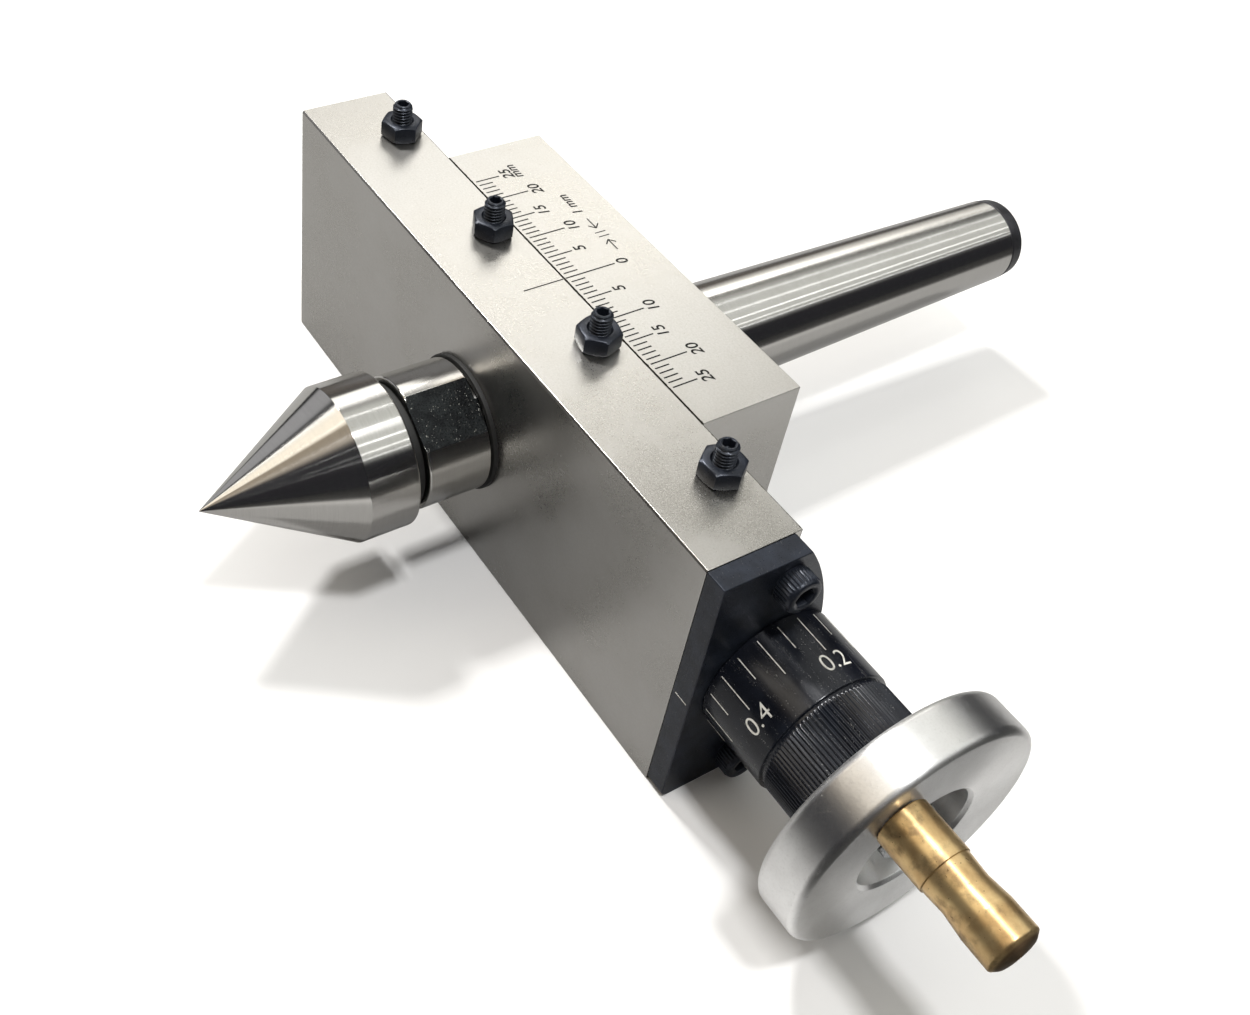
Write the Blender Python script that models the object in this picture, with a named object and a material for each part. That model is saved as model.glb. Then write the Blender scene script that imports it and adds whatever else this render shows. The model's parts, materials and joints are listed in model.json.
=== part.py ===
"""Tailstock offset attachment carrying a live center.

A fixed block hangs on a Morse taper arbor. A slide block crosses it on a dovetail, moved by a lead screw and a
hand wheel, and carries the live center. Frame in metres: origin at the middle of the fixed block's underside,
+X along the slide towards the hand wheel, +Y towards the arbor's small end, +Z up.
"""

import math

import bmesh
import bpy
from mathutils import Matrix, Vector

MM = 0.001
GAP = 0.3 * MM
FINE = 40
ROUND = 24
SMALL = 14
SHARP_ANGLE = math.radians(35)
OVERCUT = 2 * MM

# Blocks and dovetail
BLOCK_HEIGHT = 42.4 * MM
AXIS_Z = BLOCK_HEIGHT / 2
SEAM_Y = -8.15 * MM
FIXED_HALF_LENGTH = 32.25 * MM
FIXED_BACK_Y = 8.15 * MM
FIXED_FRONT_Y = SEAM_Y + GAP / 2
SLIDE_HALF_LENGTH = 52.2 * MM
SLIDE_FRONT_Y = -22.75 * MM
SLIDE_BACK_Y = SEAM_Y - GAP / 2
FLANK_ANGLE = math.radians(30)
TONGUE_ROOT_HALF = 9.0 * MM
TONGUE_TIP_Y = -16.5 * MM
GROOVE_FLOOR_Y = TONGUE_TIP_Y - GAP

# Gib strip, its set screws and lock nuts
GIB_THICKNESS = 2.0 * MM
GIB_HALF_LENGTH = 51.5 * MM
GIB_SCREW_X = (-40.5 * MM, -13.5 * MM, 13.5 * MM, 40.5 * MM)
GIB_SCREW_Y = -11.75 * MM
GIB_SCREW_BOTTOM = 36.2 * MM
GIB_SCREW_TOP = 47.9 * MM
STUD_RADIUS = 1.5 * MM
STUD_HOLE_RADIUS = STUD_RADIUS + GAP
STUD_SOCKET = 1.5 * MM
NUT_FLATS = 5.5 * MM
NUT_HEIGHT = 2.4 * MM

# Morse taper arbor
TAPER_SLOPE = 0.02497
TAPER_BIG_RADIUS = 8.99 * MM
TAPER_END_Y = 87.1 * MM
TAPER_BAND_Y = 83.97 * MM
TAPER_END_RADIUS = 6.5 * MM
SPIGOT_RADIUS = 7.0 * MM
SPIGOT_END_Y = -4.4 * MM
PIN_Y = 4.6 * MM
PIN_RADIUS = 1.5 * MM
PIN_TOP = 17.5 * MM

# Lead screw line
SCREW_Y = -10.74 * MM
THREAD_RADIUS = 3.0 * MM
SHAFT_RADIUS = 2.5 * MM
COLLAR_RADIUS = 4.2 * MM
SCREW_BORE_RADIUS = 4.7 * MM
LEAD_NUT_HALF_LENGTH = 8.0 * MM
LEAD_NUT_RADIUS = 4.4 * MM
NUT_LOCK_X = 5.0 * MM

# End flange
FLANGE_INNER_X = SLIDE_HALF_LENGTH + GAP / 2
FLANGE_OUTER_X = 55.6 * MM
FLANGE_ARC_RADIUS = 36.95 * MM
FLANGE_ARC_Y = -39.65 * MM
FLANGE_ARC_STEPS = 14
FLANGE_SCREW_Y = -11.95 * MM
FLANGE_SCREW_OFFSET = 17.3 * MM
CAP_RADIUS = 2.75 * MM
CAP_HEIGHT = 2.7 * MM
CAP_SOCKET = 2.5 * MM

# Dial, sleeve and hand wheel
DIAL_START_X = FLANGE_OUTER_X + GAP
DIAL_RADIUS = 9.92 * MM
KNURL_START_X = 67.1 * MM
KNURL_RADIUS = 9.55 * MM
DIAL_END_X = 76.5 * MM
DIAL_BORE_RADIUS = 6.3 * MM
SLEEVE_START_X = 56.8 * MM
SLEEVE_RADIUS = 6.0 * MM
SLEEVE_FLAT = 5.0 * MM
WHEEL_START_X = 76.85 * MM
WHEEL_END_X = 83.6 * MM
WHEEL_RADIUS = 18.1 * MM
WHEEL_RECESS_RADIUS = 8.3 * MM
WHEEL_FLOOR_X = 79.4 * MM

# Brass handle
HANDLE_OFFSET_Y = -6.07 * MM
HANDLE_OFFSET_Z = 9.41 * MM
HANDLE_START_X = 83.9 * MM
HANDLE_END_X = 101.9 * MM
HANDLE_RADIUS = 3.5 * MM
HANDLE_WAIST_X = 90.8 * MM
HANDLE_SWELL_X = 96.6 * MM
HANDLE_WAIST_RADIUS = 3.2 * MM
HANDLE_SCREW_HEAD = 2.4 * MM

# Live center
POINT_TIP_Y = -62.9 * MM
POINT_RADIUS = 11.36 * MM
POINT_HALF_ANGLE = math.radians(30)
POINT_FLAT = 0.15 * MM
HEAD_REAR_Y = -35.68 * MM
CENTER_FRONT_Y = -33.51 * MM
CENTER_REAR_Y = -23.76 * MM
CENTER_RADIUS = 9.87 * MM
CENTER_FLAT_DISTANCE = 8.96 * MM
CENTER_FLAT_ANGLE = math.radians(58.3)
CENTER_SPIGOT_RADIUS = 9.0 * MM
CENTER_SPIGOT_END_Y = -17.1 * MM
FRONT_BORE_RADIUS = 7.3 * MM
FRONT_BORE_END_Y = -23.2 * MM
REAR_BORE_RADIUS = 6.0 * MM
BALLS_PER_BEARING = 7

# Rotations that take local Z to a world axis; the cross-section plane keeps its cyclic order
ALONG = {
    "X": Matrix(((0, 0, 1), (1, 0, 0), (0, 1, 0))).to_4x4(),
    "Y": Matrix(((0, 1, 0), (0, 0, 1), (1, 0, 0))).to_4x4(),
    "Z": Matrix.Identity(4),
}
SCREW_LINE = Vector((0, SCREW_Y, AXIS_Z))
CENTER_LINE = Vector((0, 0, AXIS_Z))
HANDLE_LINE = SCREW_LINE + Vector((0, HANDLE_OFFSET_Y, HANDLE_OFFSET_Z))

# name: colour, roughness, metallic
FINISHES = {
    "ground_block": ((0.55, 0.54, 0.51), 0.38, 1.0),
    "ground_round": ((0.62, 0.61, 0.59), 0.24, 1.0),
    "black_oxide": ((0.035, 0.038, 0.043), 0.42, 0.6),
    "black_dial": ((0.012, 0.013, 0.017), 0.28, 0.3),
    "wheel_aluminium": ((0.72, 0.72, 0.71), 0.34, 1.0),
    "handle_brass": ((0.66, 0.45, 0.18), 0.32, 1.0),
    "nut_bronze": ((0.60, 0.42, 0.20), 0.40, 1.0),
    "bearing_steel": ((0.70, 0.70, 0.71), 0.15, 1.0),
    "seal_rubber": ((0.02, 0.02, 0.02), 0.70, 0.0),
    "spring_steel": ((0.45, 0.46, 0.48), 0.30, 1.0),
}


def clear_scene():
    """Remove every object of the opened file."""
    for obj in list(bpy.data.objects):
        bpy.data.objects.remove(obj, do_unlink=True)


def finish_material(name, finish):
    """A Principled material of one sub-part."""
    colour, roughness, metallic = FINISHES[finish]
    made = bpy.data.materials.new(name + "_" + finish)
    made.use_nodes = True
    shader = made.node_tree.nodes["Principled BSDF"]
    shader.inputs["Base Color"].default_value = (*colour, 1.0)
    shader.inputs["Roughness"].default_value = roughness
    shader.inputs["Metallic"].default_value = metallic
    made.diffuse_color = (*colour, 1.0)
    return made


def place(name, bm, axis, centre):
    """Turn a bmesh into an object whose local Z lies along a world axis through centre."""
    bmesh.ops.recalc_face_normals(bm, faces=bm.faces)
    mesh = bpy.data.meshes.new(name)
    bm.to_mesh(mesh)
    bm.free()
    mesh.shade_smooth()
    mesh.set_sharp_from_angle(angle=SHARP_ANGLE)
    obj = bpy.data.objects.new(name, mesh)
    obj.matrix_world = Matrix.Translation(centre) @ ALONG[axis]
    bpy.context.scene.collection.objects.link(obj)
    return obj


def turned_mesh(outline, hollow, segments):
    """Spin an outline of (along, radius) points about local Z; a hollow outline is a closed loop."""
    bm = bmesh.new()
    verts = [bm.verts.new((radius, 0, along)) for along, radius in outline]
    edges = [bm.edges.new(pair) for pair in zip(verts, verts[1:])]
    if hollow:
        edges.append(bm.edges.new((verts[-1], verts[0])))
    bmesh.ops.spin(bm, geom=verts + edges, cent=(0, 0, 0), axis=(0, 0, 1), dvec=(0, 0, 0),
                   angle=math.tau, steps=segments, use_merge=True, use_duplicate=False)
    bmesh.ops.remove_doubles(bm, verts=bm.verts, dist=0.001 * MM)
    return bm


def prism_mesh(outline, start, end):
    """Extrude a cross-section along local Z from start to end."""
    bm = bmesh.new()
    face = bm.faces.new([bm.verts.new((a, b, start)) for a, b in outline])
    raised = bmesh.ops.extrude_face_region(bm, geom=[face])["geom"]
    top = [item for item in raised if isinstance(item, bmesh.types.BMVert)]
    bmesh.ops.translate(bm, verts=top, vec=(0, 0, end - start))
    return bm


def turned(name, outline, axis="X", centre=SCREW_LINE, hollow=False, segments=ROUND):
    return place(name, turned_mesh(outline, hollow, segments), axis, centre)


def prism(name, outline, start, end, axis="X", centre=SCREW_LINE):
    return place(name, prism_mesh(outline, start, end), axis, centre)


def ring(name, start, end, inner, outer, axis="X", centre=SCREW_LINE, segments=ROUND):
    """A plain washer or tube."""
    outline = ((start, inner), (start, outer), (end, outer), (end, inner))
    return turned(name, outline, axis, centre, hollow=True, segments=segments)


def rod(name, start, end, radius, axis="X", centre=SCREW_LINE, segments=ROUND):
    """A plain solid cylinder."""
    outline = ((start, 0), (start, radius), (end, radius), (end, 0))
    return turned(name, outline, axis, centre, segments=segments)


def rectangle(low_a, high_a, low_b, high_b):
    return ((low_a, low_b), (high_a, low_b), (high_a, high_b), (low_a, high_b))


def hexagon(flats):
    """Cross-section of a hexagon measured across its flats."""
    corner = flats / 2 / math.cos(math.pi / 6)
    return [(corner * math.cos(i * math.pi / 3), corner * math.sin(i * math.pi / 3)) for i in range(6)]


def combine(target, tool, operation):
    """Keep a live Boolean between a part and a hidden tool body."""
    tool.hide_render = True
    tool.display_type = "WIRE"
    step = target.modifiers.new(tool.name, "BOOLEAN")
    step.operation = operation
    step.solver = "EXACT"
    step.object = tool


def cut(target, tool):
    combine(target, tool, "DIFFERENCE")


def drill(target, start, end, radius, axis="X", centre=SCREW_LINE, segments=SMALL):
    """Cut a round hole along a world axis."""
    label = f"{target.name}_hole_{len(target.modifiers)}"
    cut(target, rod(label, start, end, radius, axis, centre, segments))


def paint(objects, finish):
    for obj in objects:
        obj.data.materials.append(finish_material(obj.name, finish))


def flank_height(y, offset=0.0):
    """Height above the screw line of the tongue's flank at y, moved outward by a normal offset."""
    depth = (FIXED_FRONT_Y - y) * math.tan(FLANK_ANGLE)
    return TONGUE_ROOT_HALF + depth + offset / math.cos(FLANK_ANGLE)


def fixed_block():
    """Block and dovetail tongue in one cross-section, drilled for arbor, screw, lock screw and pin."""
    outline = (
        (FIXED_BACK_Y, 0),
        (FIXED_BACK_Y, BLOCK_HEIGHT),
        (FIXED_FRONT_Y, BLOCK_HEIGHT),
        (FIXED_FRONT_Y, AXIS_Z + flank_height(FIXED_FRONT_Y)),
        (TONGUE_TIP_Y, AXIS_Z + flank_height(TONGUE_TIP_Y)),
        (TONGUE_TIP_Y, AXIS_Z - flank_height(TONGUE_TIP_Y)),
        (FIXED_FRONT_Y, AXIS_Z - flank_height(FIXED_FRONT_Y)),
        (FIXED_FRONT_Y, 0),
    )
    block = prism("fixed_block", outline, -FIXED_HALF_LENGTH, FIXED_HALF_LENGTH, centre=Vector())
    drill(block, SPIGOT_END_Y - GAP, FIXED_BACK_Y + OVERCUT, SPIGOT_RADIUS + GAP, "Y", CENTER_LINE, ROUND)
    drill(block, -FIXED_HALF_LENGTH - OVERCUT, FIXED_HALF_LENGTH + OVERCUT, SCREW_BORE_RADIUS, segments=ROUND)
    drill(block, AXIS_Z, BLOCK_HEIGHT - OVERCUT, STUD_HOLE_RADIUS, "Z", Vector((NUT_LOCK_X, SCREW_Y, 0)))
    drill(block, -OVERCUT, AXIS_Z, PIN_RADIUS + GAP, "Z", Vector((0, PIN_Y, 0)))
    return block


def taper_arbor():
    """Spigot, Morse taper and rounded end band, with the hole for the cross pin."""
    shoulder_y = FIXED_BACK_Y + GAP
    band_radius = TAPER_BIG_RADIUS - TAPER_SLOPE * (TAPER_BAND_Y - FIXED_BACK_Y)
    outline = (
        (SPIGOT_END_Y, 0),
        (SPIGOT_END_Y, SPIGOT_RADIUS),
        (shoulder_y, SPIGOT_RADIUS),
        (shoulder_y, TAPER_BIG_RADIUS),
        (TAPER_BAND_Y, band_radius),
        (TAPER_END_Y - 1.4 * MM, band_radius - 0.1 * MM),
        (TAPER_END_Y, TAPER_END_RADIUS),
        (TAPER_END_Y, 0),
    )
    arbor = turned("taper_arbor", outline, "Y", CENTER_LINE, segments=FINE)
    drill(arbor, 0, PIN_TOP + GAP, PIN_RADIUS + GAP, "Z", Vector((0, PIN_Y, 0)))
    return arbor


def arbor_pin():
    return rod("arbor_pin", 0.8 * MM, PIN_TOP, PIN_RADIUS, "Z", Vector((0, PIN_Y, 0)), SMALL)


def lead_nut():
    """Round bronze nut held in the tongue's bore."""
    bore = THREAD_RADIUS + GAP
    return ring("lead_nut", -LEAD_NUT_HALF_LENGTH, LEAD_NUT_HALF_LENGTH, bore, LEAD_NUT_RADIUS)


def socket_screw(name, start, end, radius, axis, centre, flats, depth):
    """A headless screw with a hexagon socket in its far end."""
    screw = rod(name, start, end, radius, axis, centre, SMALL)
    cut(screw, prism(name + "_socket", hexagon(flats), end - depth, end + OVERCUT, axis, centre))
    return screw


def nut_set_screw():
    bottom = AXIS_Z + LEAD_NUT_RADIUS + GAP
    centre = Vector((NUT_LOCK_X, SCREW_Y, 0))
    return socket_screw("nut_set_screw", bottom, 30.4 * MM, STUD_RADIUS, "Z", centre, STUD_SOCKET, 1.5 * MM)


def slide_block():
    """Front block with the dovetail groove, roomier above for the gib, drilled for center and screws."""
    room = GIB_THICKNESS + 2 * GAP
    outline = (
        (SLIDE_FRONT_Y, 0),
        (SLIDE_FRONT_Y, BLOCK_HEIGHT),
        (SLIDE_BACK_Y, BLOCK_HEIGHT),
        (SLIDE_BACK_Y, AXIS_Z + flank_height(SLIDE_BACK_Y, room)),
        (GROOVE_FLOOR_Y, AXIS_Z + flank_height(GROOVE_FLOOR_Y, room)),
        (GROOVE_FLOOR_Y, AXIS_Z - flank_height(GROOVE_FLOOR_Y, GAP)),
        (SLIDE_BACK_Y, AXIS_Z - flank_height(SLIDE_BACK_Y, GAP)),
        (SLIDE_BACK_Y, 0),
    )
    right_x = FLANGE_INNER_X - GAP
    block = prism("slide_block", outline, -SLIDE_HALF_LENGTH, right_x, centre=Vector())
    hole = CENTER_SPIGOT_RADIUS + GAP
    drill(block, SLIDE_FRONT_Y - OVERCUT, SLIDE_BACK_Y, hole, "Y", CENTER_LINE, FINE)
    for x in GIB_SCREW_X:
        drill(block, AXIS_Z, BLOCK_HEIGHT + OVERCUT, STUD_HOLE_RADIUS, "Z", Vector((x, GIB_SCREW_Y, 0)))
    for z in flange_screw_heights():
        drill(block, 43.9 * MM, right_x + OVERCUT, STUD_HOLE_RADIUS, "X", Vector((0, FLANGE_SCREW_Y, z)))
    return block


def gib_strip():
    """Parallelogram strip between the tongue's upper flank and the groove."""
    front_y = TONGUE_TIP_Y + 0.1 * MM
    back_y = FIXED_FRONT_Y - 0.5 * MM
    outline = (
        (back_y, flank_height(back_y, GAP)),
        (back_y, flank_height(back_y, GAP + GIB_THICKNESS)),
        (front_y, flank_height(front_y, GAP + GIB_THICKNESS)),
        (front_y, flank_height(front_y, GAP)),
    )
    return prism("gib_strip", outline, -GIB_HALF_LENGTH, GIB_HALF_LENGTH, centre=Vector((0, 0, AXIS_Z)))


def gib_screws():
    names = [f"gib_screw_{i + 1}" for i in range(len(GIB_SCREW_X))]
    return [
        socket_screw(name, GIB_SCREW_BOTTOM, GIB_SCREW_TOP, STUD_RADIUS, "Z",
                     Vector((x, GIB_SCREW_Y, 0)), STUD_SOCKET, 2.0 * MM)
        for name, x in zip(names, GIB_SCREW_X)
    ]


def gib_nuts():
    """Hex lock nuts just above the top face."""
    nuts = []
    bottom = BLOCK_HEIGHT + GAP
    for i, x in enumerate(GIB_SCREW_X):
        centre = Vector((x, GIB_SCREW_Y, 0))
        nut = prism(f"gib_nut_{i + 1}", hexagon(NUT_FLATS), bottom, bottom + NUT_HEIGHT, "Z", centre)
        drill(nut, bottom - OVERCUT, bottom + NUT_HEIGHT + OVERCUT, STUD_HOLE_RADIUS, "Z", centre)
        nuts.append(nut)
    return nuts


def flange_screw_heights():
    return (AXIS_Z + FLANGE_SCREW_OFFSET, AXIS_Z - FLANGE_SCREW_OFFSET)


def end_flange():
    """Plate with a straight front edge and an arched back edge."""
    reach = math.asin(AXIS_Z / FLANGE_ARC_RADIUS)
    outline = [(SLIDE_FRONT_Y, 0)]
    for i in range(FLANGE_ARC_STEPS + 1):
        angle = -reach + 2 * reach * i / FLANGE_ARC_STEPS
        y = FLANGE_ARC_Y + FLANGE_ARC_RADIUS * math.cos(angle)
        outline.append((y, AXIS_Z + FLANGE_ARC_RADIUS * math.sin(angle)))
    outline.append((SLIDE_FRONT_Y, BLOCK_HEIGHT))
    flange = prism("end_flange", outline, FLANGE_INNER_X, FLANGE_OUTER_X, centre=Vector())
    through = (FLANGE_INNER_X - OVERCUT, FLANGE_OUTER_X + OVERCUT)
    drill(flange, *through, THREAD_RADIUS + GAP, segments=ROUND)
    for z in flange_screw_heights():
        drill(flange, *through, STUD_HOLE_RADIUS, "X", Vector((0, FLANGE_SCREW_Y, z)))
    return flange


def flange_screws():
    """Cap screws with a hexagon socket in the head."""
    head_x = FLANGE_OUTER_X + GAP
    end_x = head_x + CAP_HEIGHT
    outline = (
        (44.2 * MM, 0),
        (44.2 * MM, STUD_RADIUS),
        (head_x, STUD_RADIUS),
        (head_x, CAP_RADIUS),
        (end_x - 0.2 * MM, CAP_RADIUS),
        (end_x, CAP_RADIUS - 0.2 * MM),
        (end_x, 0),
    )
    screws = []
    for name, z in zip(("flange_screw_top", "flange_screw_bottom"), flange_screw_heights()):
        centre = Vector((0, FLANGE_SCREW_Y, z))
        screw = turned(name, outline, "X", centre, segments=24)
        socket = prism(name + "_socket", hexagon(CAP_SOCKET), end_x - 1.3 * MM, end_x + OVERCUT, "X", centre)
        cut(screw, socket)
        screws.append(screw)
    return screws


def center_body():
    """Bearing housing of the live center with two wrench flats and a spigot for the slide block."""
    chamfer = 0.3 * MM
    outline = (
        (CENTER_FRONT_Y, FRONT_BORE_RADIUS),
        (CENTER_FRONT_Y, CENTER_RADIUS - chamfer),
        (CENTER_FRONT_Y + chamfer, CENTER_RADIUS),
        (CENTER_REAR_Y, CENTER_RADIUS),
        (CENTER_REAR_Y, CENTER_SPIGOT_RADIUS),
        (CENTER_SPIGOT_END_Y, CENTER_SPIGOT_RADIUS),
        (CENTER_SPIGOT_END_Y, REAR_BORE_RADIUS),
        (FRONT_BORE_END_Y, REAR_BORE_RADIUS),
        (FRONT_BORE_END_Y, FRONT_BORE_RADIUS),
    )
    body = turned("center_body", outline, "Y", CENTER_LINE, hollow=True, segments=FINE)
    for side in (0, 1):
        angle = CENTER_FLAT_ANGLE + side * math.pi
        out = Vector((math.sin(angle), math.cos(angle)))
        across = Vector((-out.y, out.x)) * CENTER_RADIUS
        corners = (
            out * CENTER_FLAT_DISTANCE - across,
            out * CENTER_FLAT_DISTANCE + across,
            out * (CENTER_RADIUS + OVERCUT) + across,
            out * (CENTER_RADIUS + OVERCUT) - across,
        )
        rear_y = CENTER_REAR_Y + GAP / 2
        tool = prism(f"center_body_flat_{side}", corners, CENTER_FRONT_Y - OVERCUT, rear_y, "Y", CENTER_LINE)
        cut(body, tool)
    return body


def center_small_parts():
    """Seat ring, dust ring and rear plug of the live center."""
    return [
        ring("center_seat_ring", -23.46 * MM, -23.05 * MM, 9.3 * MM, 10.2 * MM, "Y", CENTER_LINE),
        ring("dust_ring", HEAD_REAR_Y + GAP, CENTER_FRONT_Y - GAP, 5.3 * MM, 9.2 * MM, "Y", CENTER_LINE),
        rod("center_rear_plug", -17.95 * MM, -17.15 * MM, 5.7 * MM, "Y", CENTER_LINE),
    ]


def center_point():
    """Sixty degree point with its head and the stepped shaft that the bearings carry."""
    cone_length = (POINT_RADIUS - POINT_FLAT) / math.tan(POINT_HALF_ANGLE)
    shoulder = 0.4 * MM
    outline = (
        (POINT_TIP_Y, 0),
        (POINT_TIP_Y, POINT_FLAT),
        (POINT_TIP_Y + cone_length, POINT_RADIUS),
        (HEAD_REAR_Y - shoulder, POINT_RADIUS),
        (HEAD_REAR_Y, POINT_RADIUS - shoulder),
        (HEAD_REAR_Y, 5.0 * MM),
        (-32.1 * MM, 5.0 * MM),
        (-32.1 * MM, 3.5 * MM),
        (FRONT_BORE_END_Y, 3.5 * MM),
        (FRONT_BORE_END_Y, 2.5 * MM),
        (-19.85 * MM, 2.5 * MM),
        (-19.85 * MM, 2.0 * MM),
        (-18.65 * MM, 2.0 * MM),
        (-18.65 * MM, 2.5 * MM),
        (-18.25 * MM, 2.5 * MM),
        (-18.25 * MM, 0),
    )
    return turned("center_point", outline, "Y", CENTER_LINE, segments=FINE)


def race(name, middle, half_width, land, back, groove):
    """A bearing ring with a three-sided ball groove in its land."""
    mouth = 1.05 * MM
    floor = 0.45 * MM
    outline = (
        (middle - half_width, back),
        (middle - half_width, land),
        (middle - mouth, land),
        (middle - floor, groove),
        (middle + floor, groove),
        (middle + mouth, land),
        (middle + half_width, land),
        (middle + half_width, back),
    )
    return turned(name, outline, "Y", CENTER_LINE, hollow=True)


def ball_cage(name, middle, half_width, inner, outer, ball_radius):
    """A cage ring united with its balls, which sit on its mean radius."""
    cage = ring(name, middle - half_width, middle + half_width, inner, outer, "Y", CENTER_LINE)
    pitch = (inner + outer) / 2
    bm = bmesh.new()
    for i in range(BALLS_PER_BEARING):
        angle = math.tau * (i + 0.5) / BALLS_PER_BEARING
        spot = Matrix.Translation((pitch * math.cos(angle), pitch * math.sin(angle), middle))
        bmesh.ops.create_uvsphere(bm, u_segments=8, v_segments=5, radius=ball_radius, matrix=spot)
    combine(cage, place(name + "_balls", bm, "Y", CENTER_LINE), "UNION")
    return cage


def center_bearings():
    """Front ball bearing, thrust bearing, rear ball bearing and the clip that holds the shaft."""
    front, thrust, rear = -30.05 * MM, -25.75 * MM, -21.4 * MM
    clip = ring("circlip", -19.55 * MM, -18.95 * MM, 2.3 * MM, 3.6 * MM, "Y", CENTER_LINE, 24)
    mouth = rectangle(-5 * MM, -1 * MM, -1 * MM, 1 * MM)
    cut(clip, prism("circlip_mouth", mouth, -20.5 * MM, -18 * MM, "Y", CENTER_LINE))
    fixed = [
        race("front_bearing_outer_ring", front, 1.75 * MM, 5.95 * MM, 7.0 * MM, 6.5 * MM),
        ring("thrust_washer_fixed", -24.6 * MM, -23.5 * MM, 4.1 * MM, 7.0 * MM, "Y", CENTER_LINE),
        race("rear_bearing_outer_ring", rear, 1.5 * MM, 4.8 * MM, 5.7 * MM, 5.1 * MM),
    ]
    turning = [
        race("front_bearing_inner_ring", front, 1.75 * MM, 4.9 * MM, 3.8 * MM, 4.3 * MM),
        ring("thrust_washer_turning", -28.0 * MM, -26.9 * MM, 3.8 * MM, 6.3 * MM, "Y", CENTER_LINE),
        race("rear_bearing_inner_ring", rear, 1.5 * MM, 3.5 * MM, 2.8 * MM, 3.2 * MM),
        clip,
    ]
    cages = [
        ball_cage("front_ball_cage", front, 0.9 * MM, 5.2 * MM, 5.6 * MM, 0.8 * MM),
        ball_cage("thrust_ball_cage", thrust, 0.25 * MM, 4.2 * MM, 6.2 * MM, 0.85 * MM),
        ball_cage("rear_ball_cage", rear, 0.8 * MM, 3.95 * MM, 4.35 * MM, 0.6 * MM),
    ]
    return fixed, turning, cages


def key_slot(low, high):
    """Cross-section of the key's slot, from low to high above the screw line."""
    half_width = 0.8 * MM
    return rectangle(-half_width, half_width, low, high)


def lead_screw():
    """Threaded length, thrust collar, journal and the plain shaft that carries sleeve and wheel."""
    shaft_end_x = 83.2 * MM
    outline = (
        (-44.0 * MM, 0),
        (-44.0 * MM, THREAD_RADIUS - 0.7 * MM),
        (-43.3 * MM, THREAD_RADIUS),
        (48.7 * MM, THREAD_RADIUS),
        (48.7 * MM, COLLAR_RADIUS),
        (50.9 * MM, COLLAR_RADIUS),
        (50.9 * MM, THREAD_RADIUS),
        (56.5 * MM, THREAD_RADIUS),
        (56.5 * MM, SHAFT_RADIUS),
        (shaft_end_x, SHAFT_RADIUS),
        (shaft_end_x, 0),
    )
    screw = turned("lead_screw", outline)
    slot = key_slot(1.3 * MM, SHAFT_RADIUS + OVERCUT)
    cut(screw, prism("lead_screw_key_slot", slot, WHEEL_START_X - 0.15 * MM, 79.6 * MM))
    return screw


def thrust_washers():
    """Washers that carry the screw's push against the flange, one on each side of it."""
    bore = THREAD_RADIUS + GAP
    return [
        ring("thrust_washer_inner", 51.2 * MM, FLANGE_INNER_X - GAP, bore, 4.4 * MM),
        ring("thrust_washer_outer", FLANGE_OUTER_X + GAP, SLEEVE_START_X - GAP, bore, 5.8 * MM),
    ]


def drive_sleeve():
    """Sleeve on the shaft under the dial, with a flat for the leaf spring."""
    sleeve = ring("drive_sleeve", SLEEVE_START_X, DIAL_END_X, SHAFT_RADIUS + GAP, SLEEVE_RADIUS)
    flat = rectangle(-SLEEVE_RADIUS, SLEEVE_RADIUS, SLEEVE_FLAT, SLEEVE_RADIUS + OVERCUT)
    cut(sleeve, prism("drive_sleeve_flat", flat, 58 * MM, 75 * MM))
    return sleeve


def dial_spring():
    """Bowed leaf that lies on the sleeve's flat and drags on the dial."""
    start_x, end_x = 60 * MM, 73 * MM
    thickness = 0.22 * MM
    bow = 0.22 * MM
    steps = 8
    bm = bmesh.new()
    lower = []
    upper = []
    for i in range(steps + 1):
        share = i / steps
        x = start_x + (end_x - start_x) * share
        z = SLEEVE_FLAT + GAP + bow * math.sin(math.pi * share)
        lower.append(bm.verts.new((-1.5 * MM, z, x)))
        upper.append(bm.verts.new((-1.5 * MM, z + thickness, x)))
    side = bm.faces.new(lower + upper[::-1])
    moved = bmesh.ops.extrude_face_region(bm, geom=[side])["geom"]
    far = [item for item in moved if isinstance(item, bmesh.types.BMVert)]
    bmesh.ops.translate(bm, verts=far, vec=(3 * MM, 0, 0))
    return place("dial_spring", bm, "X", SCREW_LINE)


def dial_collar():
    """Graduated dial with its knurled rear rim, free to turn on the sleeve."""
    outline = (
        (DIAL_START_X, DIAL_BORE_RADIUS),
        (DIAL_START_X, DIAL_RADIUS - 0.2 * MM),
        (DIAL_START_X + 0.2 * MM, DIAL_RADIUS),
        (KNURL_START_X, DIAL_RADIUS),
        (KNURL_START_X + 0.5 * MM, KNURL_RADIUS),
        (DIAL_END_X, KNURL_RADIUS),
        (DIAL_END_X, DIAL_BORE_RADIUS),
    )
    return turned("dial_collar", outline, hollow=True, segments=FINE)


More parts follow.
